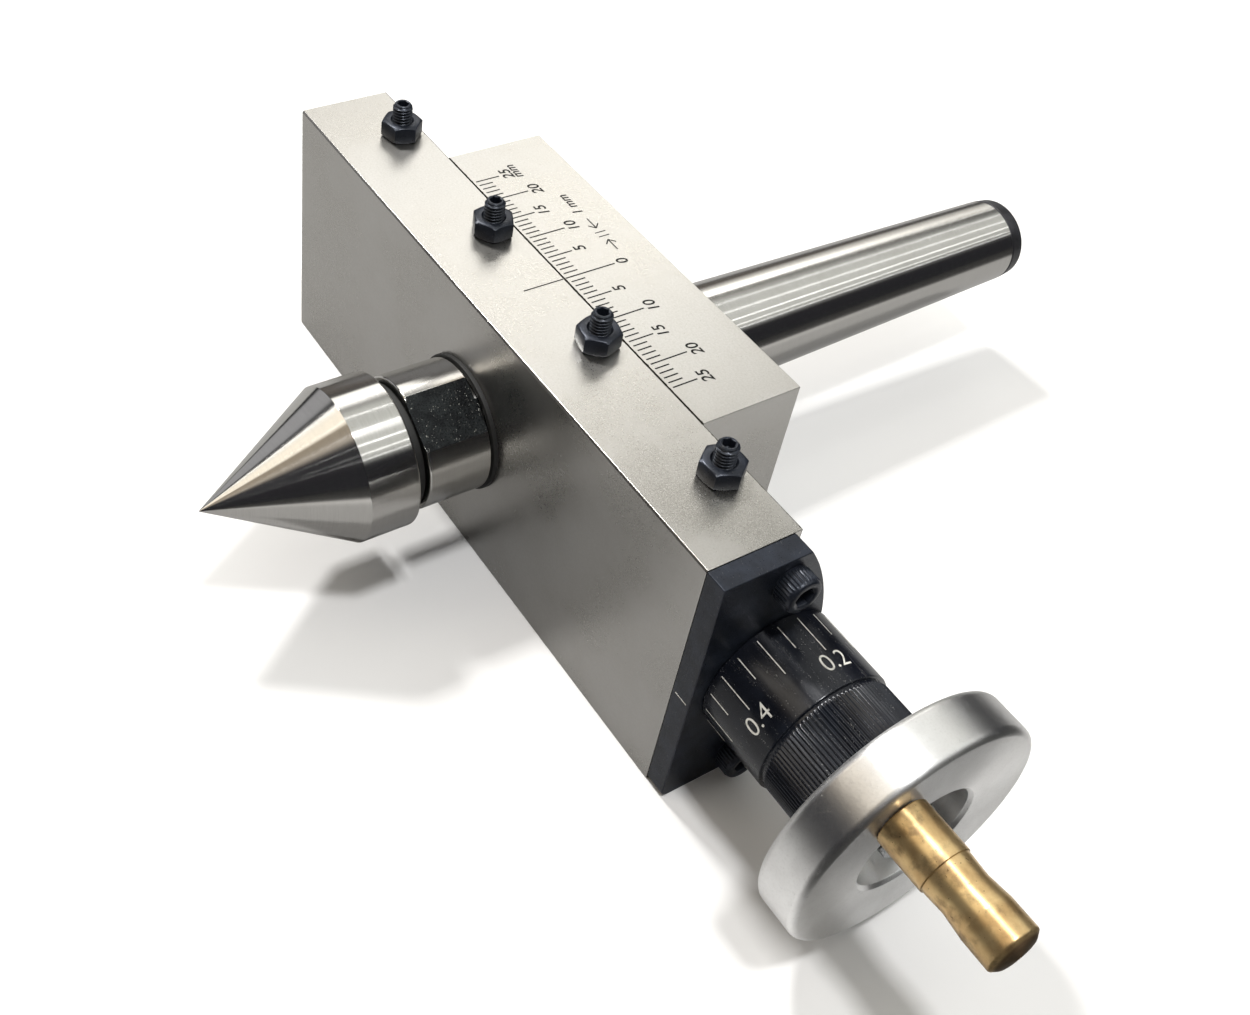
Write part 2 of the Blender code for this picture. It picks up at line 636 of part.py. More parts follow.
def handwheel():
    """Disc with an open front recess, keyed bore and a stepped hole for the handle screw."""
    edge = 0.8 * MM
    rim = 0.6 * MM
    outline = (
        (WHEEL_START_X, SHAFT_RADIUS + GAP),
        (WHEEL_START_X, WHEEL_RADIUS - edge),
        (WHEEL_START_X + edge, WHEEL_RADIUS),
        (WHEEL_END_X - edge, WHEEL_RADIUS),
        (WHEEL_END_X, WHEEL_RADIUS - edge),
        (WHEEL_END_X, WHEEL_RECESS_RADIUS + rim),
        (WHEEL_END_X - rim, WHEEL_RECESS_RADIUS),
        (WHEEL_FLOOR_X, WHEEL_RECESS_RADIUS),
        (WHEEL_FLOOR_X, SHAFT_RADIUS + GAP),
    )
    wheel = turned("handwheel", outline, hollow=True, segments=FINE)
    slot = key_slot(SHAFT_RADIUS - 0.5 * MM, 3.9 * MM)
    cut(wheel, prism("handwheel_key_slot", slot, WHEEL_START_X - OVERCUT, WHEEL_FLOOR_X + OVERCUT))
    drill(wheel, WHEEL_START_X - OVERCUT, WHEEL_END_X + OVERCUT, STUD_HOLE_RADIUS, "X", HANDLE_LINE)
    drill(wheel, WHEEL_START_X - OVERCUT, 79.2 * MM, HANDLE_SCREW_HEAD + GAP, "X", HANDLE_LINE)
    return wheel


def wheel_fixings():
    """Key, washer and nut that fasten the wheel to the shaft."""
    key = prism("wheel_key", rectangle(-0.5 * MM, 0.5 * MM, 1.6 * MM, 3.6 * MM), 77.0 * MM, 79.3 * MM)
    washer = ring("wheel_washer", 79.7 * MM, 80.2 * MM, SHAFT_RADIUS + GAP, 5.0 * MM)
    nut = prism("wheel_nut", hexagon(8.0 * MM), 80.5 * MM, 82.8 * MM)
    drill(nut, 79 * MM, 84 * MM, SHAFT_RADIUS + GAP, segments=24)
    return [key, washer, nut]


def handle_screw():
    """Shoulder screw from behind the wheel into the handle."""
    outline = (
        (77.0 * MM, 0),
        (77.0 * MM, HANDLE_SCREW_HEAD),
        (78.9 * MM, HANDLE_SCREW_HEAD),
        (78.9 * MM, STUD_RADIUS),
        (93.0 * MM, STUD_RADIUS),
        (93.0 * MM, 0),
    )
    screw = turned("handle_screw", outline, "X", HANDLE_LINE, segments=24)
    cut(screw, prism("handle_screw_socket", hexagon(2 * MM), 75 * MM, 78 * MM, "X", HANDLE_LINE))
    return screw


def brass_handle():
    """Waisted handle with a domed end and a blind bore for its screw."""
    dome = 0.8 * MM
    outline = (
        (HANDLE_START_X, STUD_HOLE_RADIUS),
        (HANDLE_START_X, HANDLE_RADIUS),
        (HANDLE_WAIST_X, HANDLE_RADIUS),
        (HANDLE_WAIST_X, HANDLE_WAIST_RADIUS),
        (HANDLE_WAIST_X + 3.4 * MM, HANDLE_WAIST_RADIUS - 0.1 * MM),
        (HANDLE_SWELL_X, HANDLE_RADIUS),
        (HANDLE_END_X - dome, HANDLE_RADIUS),
        (HANDLE_END_X - 0.25 * dome, HANDLE_RADIUS * 0.6),
        (HANDLE_END_X, 0),
        (93.4 * MM, 0),
        (93.4 * MM, STUD_HOLE_RADIUS),
    )
    return turned("brass_handle", outline, "X", HANDLE_LINE, hollow=True, segments=FINE)


def gather(name, point, parts, parent=None):
    """Parent the parts of one moving body to an empty on its joint's axis."""
    empty = bpy.data.objects.new(name, None)
    empty.location = point
    bpy.context.scene.collection.objects.link(empty)
    if parent is not None:
        attach(empty, parent, parent["joint_point"])
    empty["joint_point"] = tuple(point)
    for part in parts:
        attach(part, empty, point)
    return empty


def attach(child, parent, parent_point):
    child.parent = parent
    child.matrix_parent_inverse = Matrix.Translation(Vector(parent_point)).inverted()


def main():
    clear_scene()
    fixed = fixed_block()
    arbor = taper_arbor()
    pin = arbor_pin()
    nut = lead_nut()
    nut_lock = nut_set_screw()
    block = slide_block()
    gib = gib_strip()
    gib_studs = gib_screws()
    lock_nuts = gib_nuts()
    flange = end_flange()
    caps = flange_screws()
    housing = center_body()
    seat_ring, dust_ring, plug = center_small_parts()
    point = center_point()
    bearing_fixed, bearing_turning, cages = center_bearings()
    screw = lead_screw()
    washers = thrust_washers()
    sleeve = drive_sleeve()
    spring = dial_spring()
    dial = dial_collar()
    wheel = handwheel()
    key, wheel_washer, wheel_nut = wheel_fixings()
    shoulder_screw = handle_screw()
    grip = brass_handle()

    paint([fixed, block], "ground_block")
    paint([arbor, point, housing], "ground_round")
    paint([flange, nut_lock, *gib_studs, *lock_nuts, *caps, seat_ring], "black_oxide")
    paint([dial], "black_dial")
    paint([wheel], "wheel_aluminium")
    paint([grip], "handle_brass")
    paint([nut, *washers], "nut_bronze")
    paint([*bearing_fixed, *bearing_turning, *cages, pin], "bearing_steel")
    paint([dust_ring], "seal_rubber")
    paint([screw, sleeve, spring, gib, key, wheel_washer, wheel_nut, shoulder_screw, plug], "spring_steel")

    slide_parts = [block, gib, *gib_studs, *lock_nuts, flange, *caps, housing, seat_ring, dust_ring, plug]
    slide = gather("slide_axis", Vector(), slide_parts + bearing_fixed + washers)
    gather("center_axis", CENTER_LINE, [point, *bearing_turning], slide)
    for cage in cages:
        gather(cage.name + "_axis", CENTER_LINE, [cage], slide)
    turning = [screw, sleeve, spring, wheel, key, wheel_washer, wheel_nut, shoulder_screw]
    screw_axis = gather("screw_axis", SCREW_LINE, turning, slide)
    gather("dial_axis", SCREW_LINE, [dial], screw_axis)
    gather("handle_axis", HANDLE_LINE, [grip], screw_axis)


main()
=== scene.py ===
import json
import math

import bmesh
import bpy
import numpy as np
from mathutils import Matrix, Vector


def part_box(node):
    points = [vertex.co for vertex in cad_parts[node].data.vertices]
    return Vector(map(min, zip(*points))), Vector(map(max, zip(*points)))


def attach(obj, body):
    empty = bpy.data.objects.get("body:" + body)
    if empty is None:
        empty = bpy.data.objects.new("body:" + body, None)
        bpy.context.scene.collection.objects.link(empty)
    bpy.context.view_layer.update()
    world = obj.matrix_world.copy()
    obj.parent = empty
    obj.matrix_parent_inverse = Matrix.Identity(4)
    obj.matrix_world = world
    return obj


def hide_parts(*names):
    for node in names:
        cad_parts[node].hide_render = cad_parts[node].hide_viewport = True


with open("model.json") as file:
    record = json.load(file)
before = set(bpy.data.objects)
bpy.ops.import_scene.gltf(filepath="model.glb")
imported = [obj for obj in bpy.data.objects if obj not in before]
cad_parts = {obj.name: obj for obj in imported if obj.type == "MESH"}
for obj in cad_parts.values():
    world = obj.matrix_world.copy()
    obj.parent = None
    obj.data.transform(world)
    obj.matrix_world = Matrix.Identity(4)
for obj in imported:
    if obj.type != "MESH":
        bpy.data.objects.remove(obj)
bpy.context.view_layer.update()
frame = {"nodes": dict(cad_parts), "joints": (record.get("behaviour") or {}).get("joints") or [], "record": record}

# Looks for the tailstock offset attachment with its live center.
# Lengths are in millimetres until a mesh is made. Materials work in millimetres of the piece's own space.
MM = 0.001
TURN = math.tau
SHARP = math.radians(38)
SLANT = math.radians(30)
RINGS_PER_PITCH = 8

JOINT_POINT = {j["name"]: Vector(j.get("pos_m", (0, 0, 0))) / MM for j in frame["joints"]}
CENTER_LINE = JOINT_POINT["center_spin"]
SCREW_LINE = JOINT_POINT["leadscrew_turn"]
HANDLE_LINE = JOINT_POINT["handle_spin"]
ORIGIN = Vector((0, 0, 0))
BASIS = {
    "X": (Vector((0, 1, 0)), Vector((0, 0, 1)), Vector((1, 0, 0))),
    "Y": (Vector((0, 0, 1)), Vector((1, 0, 0)), Vector((0, 1, 0))),
    "Z": (Vector((1, 0, 0)), Vector((0, 1, 0)), Vector((0, 0, 1))),
}


class Span:
    """Lowest and highest corner of a CAD node, in millimetres."""

    def __init__(self, node):
        low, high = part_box(node)
        self.low = low / MM
        self.high = high / MM
        self.middle = (self.low + self.high) / 2


FIXED = Span("fixed_block")
SLIDE = Span("slide_block")
FLANGE = Span("end_flange")
ARBOR = Span("taper_arbor")
POINT = Span("center_point")
BODY = Span("center_body")
SHADE_RING = Span("center_seat_ring")
DUST = Span("dust_ring")
DIAL = Span("dial_collar")
WHEEL = Span("handwheel")
HANDLE = Span("brass_handle")
ROD = Span("lead_screw")

# Blocks. The CAD leaves 0.15 on each side of the seam; the shown blocks close it to a hairline.
TOP_Z = FIXED.high.z
AXIS_Z = TOP_Z / 2
SEAM_Y = SLIDE.high.y + 0.15
SEAM_HALF_GAP = 0.05
BLOCK_BEVEL = 0.08
TONGUE_TIP_Y = FIXED.low.y
TONGUE_ROOT_HALF = 9.0
GIB_ROOM = 2.6
RUNNING_ROOM = 0.3
GIB_SCREWS = range(1, 5)


# ---------------------------------------------------------------- materials

class Nodes:
    """Short calls for building a node tree. A value is a plain value or the output that feeds it."""

    def __init__(self, tree):
        self.tree = tree

    def feed(self, socket, value):
        if isinstance(value, bpy.types.NodeSocket):
            self.tree.links.new(value, socket)
        else:
            socket.default_value = value

    def add(self, kind, values=(), **settings):
        """New node with its settings, its inputs fed by name or place."""
        node = self.tree.nodes.new(kind)
        for key, value in settings.items():
            setattr(node, key, value)
        for key, value in dict(values).items():
            self.feed(node.inputs[key], value)
        return node

    def vector_maths(self, operation, *values):
        node = self.add("ShaderNodeVectorMath", enumerate(values), operation=operation)
        single = operation in ("LENGTH", "DISTANCE", "DOT_PRODUCT")
        return node.outputs["Value" if single else "Vector"]

    def maths(self, operation, first, second=0.0):
        return self.add("ShaderNodeMath", {0: first, 1: second}, operation=operation).outputs[0]

    def split(self, vector):
        """The X, Y and Z of a vector."""
        return self.add("ShaderNodeSeparateXYZ", {0: vector}).outputs

    def ramp(self, value, low, high, out_low=0.0, out_high=1.0):
        """Smooth step from out_low at low to out_high at high."""
        values = {"Value": value, "From Min": low, "From Max": high, "To Min": out_low, "To Max": out_high}
        return self.add("ShaderNodeMapRange", values, interpolation_type="SMOOTHSTEP").outputs["Result"]

    def mix(self, share, first, second):
        """Colour from first at share 0 to second at share 1."""
        first, second = ((*c, 1.0) if isinstance(c, tuple) else c for c in (first, second))
        return self.add("ShaderNodeMix", {0: share, 6: first, 7: second}, data_type="RGBA").outputs[2]


class Tree(Nodes):
    """A node material, in millimetres of the piece's own space."""

    def __init__(self, name):
        self.material = bpy.data.materials.new(name)
        self.material.use_nodes = True
        super().__init__(self.material.node_tree)
        self.shader = self.tree.nodes["Principled BSDF"]
        spot = self.add("ShaderNodeTexCoord").outputs["Object"]
        scale = self.add("ShaderNodeVectorMath", {0: spot, "Scale": 1 / MM}, operation="SCALE")
        self.here = scale.outputs["Vector"]

    def noise(self, scale, detail=3.0, stretch=(1, 1, 1), rough=0.55, shift=0.0, where=None):
        """Noise with scale features a millimetre, squeezed along the axes by stretch."""
        start = self.here if where is None else where
        squeezed = self.vector_maths("MULTIPLY", start, stretch)
        moved = self.vector_maths("ADD", squeezed, (shift, shift, shift))
        values = {"Vector": moved, "Scale": scale, "Detail": detail, "Roughness": rough}
        return self.add("ShaderNodeTexNoise", values).outputs["Fac"]

    def bump(self, height, depth, normal=None):
        """Bump whose full height stands depth millimetres tall."""
        values = {"Height": height, "Distance": depth * MM, "Strength": 1.0}
        if normal is not None:
            values["Normal"] = normal
        return self.add("ShaderNodeBump", values).outputs["Normal"]

    def edges(self, width, low=0.02, high=0.25):
        """1 on convex and concave edges, 0 on faces, from a rounded normal."""
        soft = self.add("ShaderNodeBevel", {"Radius": width * MM}, samples=4)
        plain = self.add("ShaderNodeNewGeometry")
        alike = self.vector_maths("DOT_PRODUCT", soft.outputs["Normal"], plain.outputs["Normal"])
        return self.ramp(self.maths("SUBTRACT", 1.0, alike), low, high)

    def finish(self, colour, roughness, metallic=1.0, normal=None, extra=()):
        """Feed the shader, extra inputs by name."""
        values = {"Base Color": colour, "Roughness": roughness, "Metallic": metallic}
        if normal is not None:
            values["Normal"] = normal
        values.update(extra)
        for key, value in values.items():
            self.feed(self.shader.inputs[key], value)
        return self.material

    def turned_grain(self, axis, strength):
        """Shader inputs that blur reflections along a turned piece's axis, as fine tool rings do.
        The quarter turn lays the blur across the radial tangent."""
        node = self.add("ShaderNodeTangent", direction_type="RADIAL", axis=axis)
        return {"Anisotropic": strength, "Anisotropic Rotation": 0.25, "Tangent": node.outputs["Tangent"]}


def ground_block_material():
    """Surface-ground steel: satin, finely mottled on top, smoother on its sides, with painted shade
    in the hairline seam, its edge nibbled."""
    t = Tree("ground_block")
    facing = t.split(t.add("ShaderNodeTexCoord").outputs["Normal"])
    on_top = t.ramp(t.maths("ABSOLUTE", facing["Z"]), 0.4, 0.9, 0.3, 1.0)
    cloud = t.noise(0.06, 4.0)
    mottle = t.noise(3.4, 4.0, rough=0.7, shift=7.0)
    speck = t.ramp(t.noise(4.0, 2.0, shift=31.0), 0.67, 0.75, 0.0, 0.4)
    colour = t.mix(t.ramp(cloud, 0.3, 0.7), (0.485, 0.47, 0.445), (0.545, 0.535, 0.515))
    grain = t.maths("MULTIPLY", t.ramp(mottle, 0.35, 0.65, 0.0, 0.30), on_top)
    colour = t.mix(grain, colour, (0.37, 0.355, 0.325))
    colour = t.mix(t.maths("MULTIPLY", speck, on_top), colour, (0.2, 0.18, 0.15))
    # Painted shade: a dark, rougher band along the hairline seam, standing in for the shade in the gap between the
    # blocks.
    away = t.maths("ABSOLUTE", t.maths("SUBTRACT", t.split(t.here)["Y"], SEAM_Y))
    nibble = t.ramp(t.noise(1.4, 5.0, shift=3.0, rough=0.8), 0.45, 0.75, 0.0, 0.14)
    shade_end = SEAM_HALF_GAP + BLOCK_BEVEL
    seam_shade = t.ramp(t.maths("SUBTRACT", away, nibble), shade_end, shade_end + 0.03, 1.0, 0.0)
    colour = t.mix(seam_shade, colour, (0.035, 0.03, 0.026))
    rough = t.ramp(mottle, 0.3, 0.7, 0.26, 0.33)
    rough = t.maths("ADD", rough, t.ramp(cloud, 0.3, 0.7, -0.02, 0.04))
    rough = t.maths("ADD", rough, t.maths("MULTIPLY", seam_shade, 0.4))
    normal = t.bump(t.maths("MULTIPLY", mottle, on_top), 0.005)
    normal = t.bump(t.noise(9.0, 2.0), 0.002, normal=normal)
    return t.finish(colour, rough, normal=normal)


def ground_round_material():
    """Steel ground round Y: sharp round its axis, blurred along it by rings too fine to see."""
    t = Tree("ground_round")
    rings = t.noise(9.0, 3.0, stretch=(0.02, 1, 0.02), rough=0.7)
    cloud = t.noise(0.15, 3.0)
    colour = t.mix(t.ramp(rings, 0.3, 0.7), (0.57, 0.5605, 0.5415), (0.63, 0.6195, 0.5985))
    colour = t.mix(t.ramp(cloud, 0.35, 0.75, 0.0, 0.15), colour, (0.47, 0.45, 0.42))
    spots = t.ramp(t.noise(1.3, 4.0, shift=11.0), 0.66, 0.75, 0.0, 0.25)
    colour = t.mix(spots, colour, (0.33, 0.29, 0.24))
    rough = t.ramp(rings, 0.3, 0.7, 0.155, 0.175)
    normal = t.bump(rings, 0.0001)
    return t.finish(colour, rough, normal=normal, extra=t.turned_grain("Y", 0.9))


def scratches(t, shift=0.0, turn=0.0):
    """1 on sparse short scratches, 0 between them."""
    values = {"Vector": t.here, "Rotation": (turn, 0.5 + turn, 0.3)}
    turned = t.add("ShaderNodeVectorRotate", values, rotation_type="EULER_XYZ").outputs["Vector"]
    streaks = t.noise(1.6, 3.0, (0.35, 4.0, 2.0), 0.5, shift, where=turned)
    return t.ramp(streaks, 0.67, 0.72)


def black_oxide_material(name="black_oxide", base=(0.013, 0.016, 0.024), worn=(0.075, 0.085, 0.095)):
    """Blue-black oxide on steel, semi-matt, paler on worn edges."""
    t = Tree(name)
    cloud = t.noise(0.35, 4.0)
    grit = t.noise(5.0, 3.0, shift=3.0)
    colour = t.mix(t.ramp(cloud, 0.35, 0.7), base, tuple(c * 1.7 for c in base))
    colour = t.mix(t.maths("MULTIPLY", t.edges(0.18), 0.8), colour, worn)
    colour = t.mix(t.maths("MULTIPLY", scratches(t), 0.35), colour, (0.16, 0.16, 0.16))
    rough = t.ramp(grit, 0.3, 0.7, 0.27, 0.42)
    normal = t.bump(grit, 0.004)
    return t.finish(colour, rough, metallic=0.45, normal=normal)


def scratched_flat_material():
    """Black oxide of the wrench flats with pale scratches."""
    t = Tree("black_flat")
    cloud = t.noise(0.5, 4.0)
    colour = t.mix(t.ramp(cloud, 0.35, 0.7), (0.006, 0.007, 0.008), (0.018, 0.021, 0.022))
    marks = t.maths("MAXIMUM", scratches(t), scratches(t, 17.0, 1.1))
    patch = t.ramp(t.noise(0.25, 2.0, shift=5.0), 0.38, 0.55)
    colour = t.mix(t.maths("MULTIPLY", marks, patch), colour, (0.62, 0.62, 0.57))
    rough = t.ramp(t.noise(4.0, 3.0), 0.3, 0.7, 0.22, 0.40)
    normal = t.bump(t.noise(3.0, 3.0), 0.008)
    return t.finish(colour, rough, metallic=0.5, normal=normal, extra={"Specular IOR Level": 0.25})


def black_dial_material():
    """Glossy blue-black oxide, flecked where it has rubbed and paler on its edges."""
    t = Tree("black_dial")
    cloud = t.noise(0.3, 4.0)
    streak = t.noise(1.5, 3.0, stretch=(0.15, 1, 1), shift=4.0)
    colour = t.mix(t.ramp(cloud, 0.35, 0.7), (0.005, 0.006, 0.010), (0.010, 0.012, 0.018))
    colour = t.mix(t.ramp(streak, 0.64, 0.74, 0.0, 0.25), colour, (0.05, 0.05, 0.052))
    flecks = t.ramp(t.noise(6.0, 3.0, shift=8.0), 0.62, 0.68)
    rubbed = t.maths("MULTIPLY", flecks, t.ramp(streak, 0.50, 0.62))
    colour = t.mix(t.maths("MULTIPLY", rubbed, 0.7), colour, (0.30, 0.30, 0.29))
    colour = t.mix(t.maths("MULTIPLY", t.edges(0.15), 0.35), colour, (0.10, 0.11, 0.12))
    rough = t.ramp(streak, 0.35, 0.7, 0.20, 0.28)
    normal = t.bump(t.noise(2.5, 3.0), 0.0015)
    return t.finish(colour, rough, metallic=0.2, normal=normal, extra=t.turned_grain("X", 0.6))


def wheel_material():
    """Satin turned aluminium, pitted near its edges."""
    t = Tree("wheel_aluminium")
    cloud = t.noise(0.12, 3.0)
    grain = t.noise(3.0, 4.0, rough=0.65)
    colour = t.mix(t.ramp(cloud, 0.35, 0.7), (0.76, 0.755, 0.75), (0.86, 0.86, 0.855))
    colour = t.mix(t.ramp(grain, 0.45, 0.75, 0.0, 0.25), colour, (0.60, 0.59, 0.58))
    pit = t.ramp(t.noise(1.5, 5.0, shift=9.0, rough=0.8), 0.60, 0.66)
    near_edge = t.edges(1.6, 0.005, 0.12)
    pits = t.maths("MULTIPLY", pit, t.maths("ADD", t.maths("MULTIPLY", near_edge, 0.9), 0.12))
    colour = t.mix(pits, colour, (0.16, 0.15, 0.14))
    rough = t.ramp(grain, 0.3, 0.7, 0.33, 0.41)
    height = t.maths("SUBTRACT", grain, t.maths("MULTIPLY", pits, 4.0))
    normal = t.bump(height, 0.006)
    return t.finish(colour, rough, normal=normal, extra=t.turned_grain("X", 0.75))


def brass_material():
    """Turned brass with brown tarnish and pits, and a painted dark reflection on its domed end."""
    t = Tree("handle_brass")
    cloud = t.noise(0.35, 4.0)
    rings = t.noise(5.0, 3.0, stretch=(1, 0.03, 0.03))
    colour = t.mix(t.ramp(cloud, 0.3, 0.7), (0.56, 0.37, 0.17), (0.76, 0.56, 0.28))
    stain = t.ramp(t.noise(0.45, 5.0, shift=13.0, rough=0.6), 0.48, 0.70, 0.0, 0.6)
    end = HANDLE.high.x
    # Painted reflection: the domed end is darkened towards the tarnish colour, standing in for the dark room it
    # mirrors; the stains are real tarnish.
    painted_end_reflection = t.ramp(t.split(t.here)["X"], end - 0.8, end - 0.45, 0.0, 0.9)
    tarnish_and_end_reflection = t.maths("MAXIMUM", stain, painted_end_reflection)
    colour = t.mix(tarnish_and_end_reflection, colour, (0.17, 0.11, 0.065))
    pits = t.ramp(t.noise(2.6, 4.0, shift=21.0), 0.66, 0.72)
    colour = t.mix(t.maths("MULTIPLY", pits, 0.7), colour, (0.10, 0.05, 0.02))
    rough = t.ramp(rings, 0.3, 0.7, 0.30, 0.36)
    rough = t.maths("ADD", rough, t.maths("MULTIPLY", tarnish_and_end_reflection, 0.12))
    height = t.maths("SUBTRACT", rings, t.maths("MULTIPLY", pits, 5.0))
    normal = t.bump(height, 0.0007)
    return t.finish(colour, rough, metallic=0.86, normal=normal, extra=t.turned_grain("X", 0.7))


def machined_material(name, pale, dark, low, high):
    """Machined metal with fine grain and faint stains."""
    t = Tree(name)
    grain = t.noise(4.0, 3.0)
    stain = t.ramp(t.noise(0.5, 4.0, shift=6.0), 0.5, 0.75, 0.0, 0.5)
    colour = t.mix(t.ramp(grain, 0.3, 0.7), pale, dark)
    colour = t.mix(stain, colour, tuple(c * 0.55 for c in dark))
    rough = t.ramp(grain, 0.3, 0.7, low, high)
    return t.finish(colour, rough, normal=t.bump(grain, 0.003))


def rubber_material():
    """Matt black rubber with a fine grit."""
    t = Tree("seal_rubber")
    grit = t.noise(6.0, 3.0)
    colour = t.mix(t.ramp(grit, 0.3, 0.7), (0.006, 0.006, 0.006), (0.016, 0.016, 0.015))
    rough = t.ramp(grit, 0.3, 0.7, 0.55, 0.75)
    return t.finish(colour, rough, metallic=0.0, normal=t.bump(grit, 0.01))


def filling_material(name, tone, worn, low, high):
    """Paint in an engraved mark, thin in places."""
    t = Tree(name)
    thin = t.ramp(t.noise(1.7, 4.0, shift=2.0), low, high)
    rough = t.ramp(t.noise(5.0), 0.3, 0.7, 0.5, 0.7)
    return t.finish(t.mix(thin, tone, worn), rough, metallic=0.0, extra={"Specular IOR Level": 0.15})


GROUND_BLOCK = ground_block_material()
GROUND_ROUND = ground_round_material()
BLACK_OXIDE = black_oxide_material()
BLACK_BAND = black_oxide_material("black_band", (0.030, 0.030, 0.034), (0.14, 0.13, 0.13))
BLACK_FLAT = scratched_flat_material()
BLACK_DIAL = black_dial_material()
WHEEL_ALUMINIUM = wheel_material()
BRASS = brass_material()
BRONZE = machined_material("nut_bronze", (0.62, 0.44, 0.21), (0.45, 0.29, 0.12), 0.30, 0.45)
BEARING_STEEL = machined_material("bearing_steel", (0.70, 0.70, 0.71), (0.60, 0.60, 0.61), 0.10, 0.20)
RUBBER = rubber_material()
SPRING_STEEL = machined_material("spring_steel", (0.50, 0.51, 0.52), (0.36, 0.37, 0.38), 0.24, 0.38)
BLACK_FILL = filling_material("black_fill", (0.008, 0.008, 0.008), (0.06, 0.055, 0.05), 0.5, 0.75)
WHITE_FILL = filling_material("white_fill", (0.66, 0.65, 0.60), (0.30, 0.29, 0.26), 0.45, 0.75)
SLOT_MATERIALS = {
    "ground_block": GROUND_BLOCK,
    "ground_round": GROUND_ROUND,
    "black_oxide": BLACK_OXIDE,
    "black_dial": BLACK_DIAL,
    "wheel_aluminium": WHEEL_ALUMINIUM,
    "handle_brass": BRASS,
    "nut_bronze": BRONZE,
    "bearing_steel": BEARING_STEEL,
    "seal_rubber": RUBBER,
    "spring_steel": SPRING_STEEL,
}


# ---------------------------------------------------------------- shapes

def rounded(corners, closed=False, steps=4):
    """Points of an outline given as (a, b, fillet radius) corners, with an arc at each fillet."""
    points = []
    for i, (a, b, fillet) in enumerate(corners):
        here = Vector((a, b))
        if not fillet or (not closed and i in (0, len(corners) - 1)):
            points.append(here)
            continue
        before = (Vector(corners[i - 1][:2]) - here).normalized()
        after = (Vector(corners[(i + 1) % len(corners)][:2]) - here).normalized()
        half = before.angle(after) / 2
        centre = here + (before + after).normalized() * (fillet / math.sin(half))
        start = here + before * (fillet / math.tan(half)) - centre
        end = here + after * (fillet / math.tan(half)) - centre
        sweep = math.pi - 2 * half
        for k in range(steps + 1):
            share = k / steps
            mixed = start * math.sin((1 - share) * sweep) + end * math.sin(share * sweep)
            points.append(centre + mixed / math.sin(sweep))
    return points


def new_piece(name, bm, material):
    """Object from a bmesh in millimetres, smooth with sharp corners kept."""
    bmesh.ops.recalc_face_normals(bm, faces=bm.faces)
    bm.transform(Matrix.Diagonal((MM, MM, MM, 1)))
    mesh = bpy.data.meshes.new(name)
    bm.to_mesh(mesh)
    bm.free()
    mesh.shade_smooth()
    mesh.set_sharp_from_angle(angle=SHARP)
    piece = bpy.data.objects.new(name, mesh)
    bpy.context.scene.collection.objects.link(piece)
    for item in material if isinstance(material, tuple) else (material,):
        mesh.materials.append(item)
    return piece


def even_normals(piece):
    step = piece.modifiers.new("even_normals", "WEIGHTED_NORMAL")
    step.keep_sharp = True
    return piece


def spread(count):
    """Even angles round a whole turn."""
    return np.arange(count) * TURN / count


def ring_stack(name, rings, axis, centre, material, segments=128, angles=None, loop=False, paint=None):
    """Skin over rings of (along, radius) about an axis. Either value may be an array by angle.
    A loop of rings is a hollow piece; otherwise both ends are capped.
    paint(i) picks the material slot of the band behind ring i."""
    if angles is None:
        angles = spread(segments)
    side, up, forward = BASIS[axis]
    bm = bmesh.new()
    layers = []
    for along, radius in rings:
        along = np.broadcast_to(along, len(angles))
        radius = np.broadcast_to(radius, len(angles))
        layers.append([
            bm.verts.new(centre + forward * a + side * (r * math.cos(t)) + up * (r * math.sin(t)))
            for a, r, t in zip(along, radius, angles)
        ])
    pairs = list(zip(layers, layers[1:]))
    if loop:
        pairs.append((layers[-1], layers[0]))
    for i, (low, high) in enumerate(pairs):
        for j in range(len(angles)):
            k = (j + 1) % len(angles)
            face = bm.faces.new((low[j], low[k], high[k], high[j]))
            face.material_index = paint(i) if paint else 0
    if not loop:
        for i, layer in ((0, layers[0]), (len(pairs) - 1, layers[-1])):
            bm.faces.new(layer).material_index = paint(i) if paint else 0
    return new_piece(name, bm, material)


def turned(name, corners, axis, centre, material, segments=128, loop=False, steps=4, paint=None):
    """Turned piece from (along, radius, fillet) corners."""
    rings = [(p.x, p.y) for p in rounded(corners, closed=loop, steps=steps)]
    return even_normals(ring_stack(name, rings, axis, centre, material, segments, loop=loop, paint=paint))


def flat_ring(start, end, bore, radius, fillets):
    """Corners of a plain ring, with fillets at front bore, front rim, back rim and back bore."""
    places = ((start, bore), (start, radius), (end, radius), (end, bore))
    return [(*place, fillet) for place, fillet in zip(places, fillets)]


def prism(name, outline, start, end, axis, centre, material):
    """Outline of (side, up) points pushed along an axis."""
    side, up, forward = BASIS[axis]
    bm = bmesh.new()
    low, high = (
        [bm.verts.new(centre + forward * along + side * a + up * b) for a, b in outline]
        for along in (start, end)
    )
    for i in range(len(outline)):
        k = (i + 1) % len(outline)
        bm.faces.new((low[i], low[k], high[k], high[i]))
    bm.faces.new(low)
    bm.faces.new(high)
    return new_piece(name, bm, material)


def cut(piece, tool):
    """Take a tool body out of a piece and drop the tool."""
    step = piece.modifiers.new("cut", "BOOLEAN")
    step.operation = "DIFFERENCE"
    step.solver = "EXACT"
    step.object = tool
    bpy.context.view_layer.update()
    ready = piece.evaluated_get(bpy.context.evaluated_depsgraph_get())
    mesh = bpy.data.meshes.new_from_object(ready)
    piece.modifiers.clear()
    piece.data = mesh
    bpy.data.objects.remove(tool)


def drill(piece, start, end, radius, axis, centre, segments=64):
    cut(piece, ring_stack("drill", ((start, radius), (end, radius)), axis, centre, (), segments))


def soften(piece, width):
    """Bevel every sharp edge and keep the flats flat."""
    step = piece.modifiers.new("soften", "BEVEL")
    step.width = width * MM
    step.segments = 3
    step.limit_method = "ANGLE"
    step.angle_limit = SLANT
    step.harden_normals = False
    return even_normals(piece)


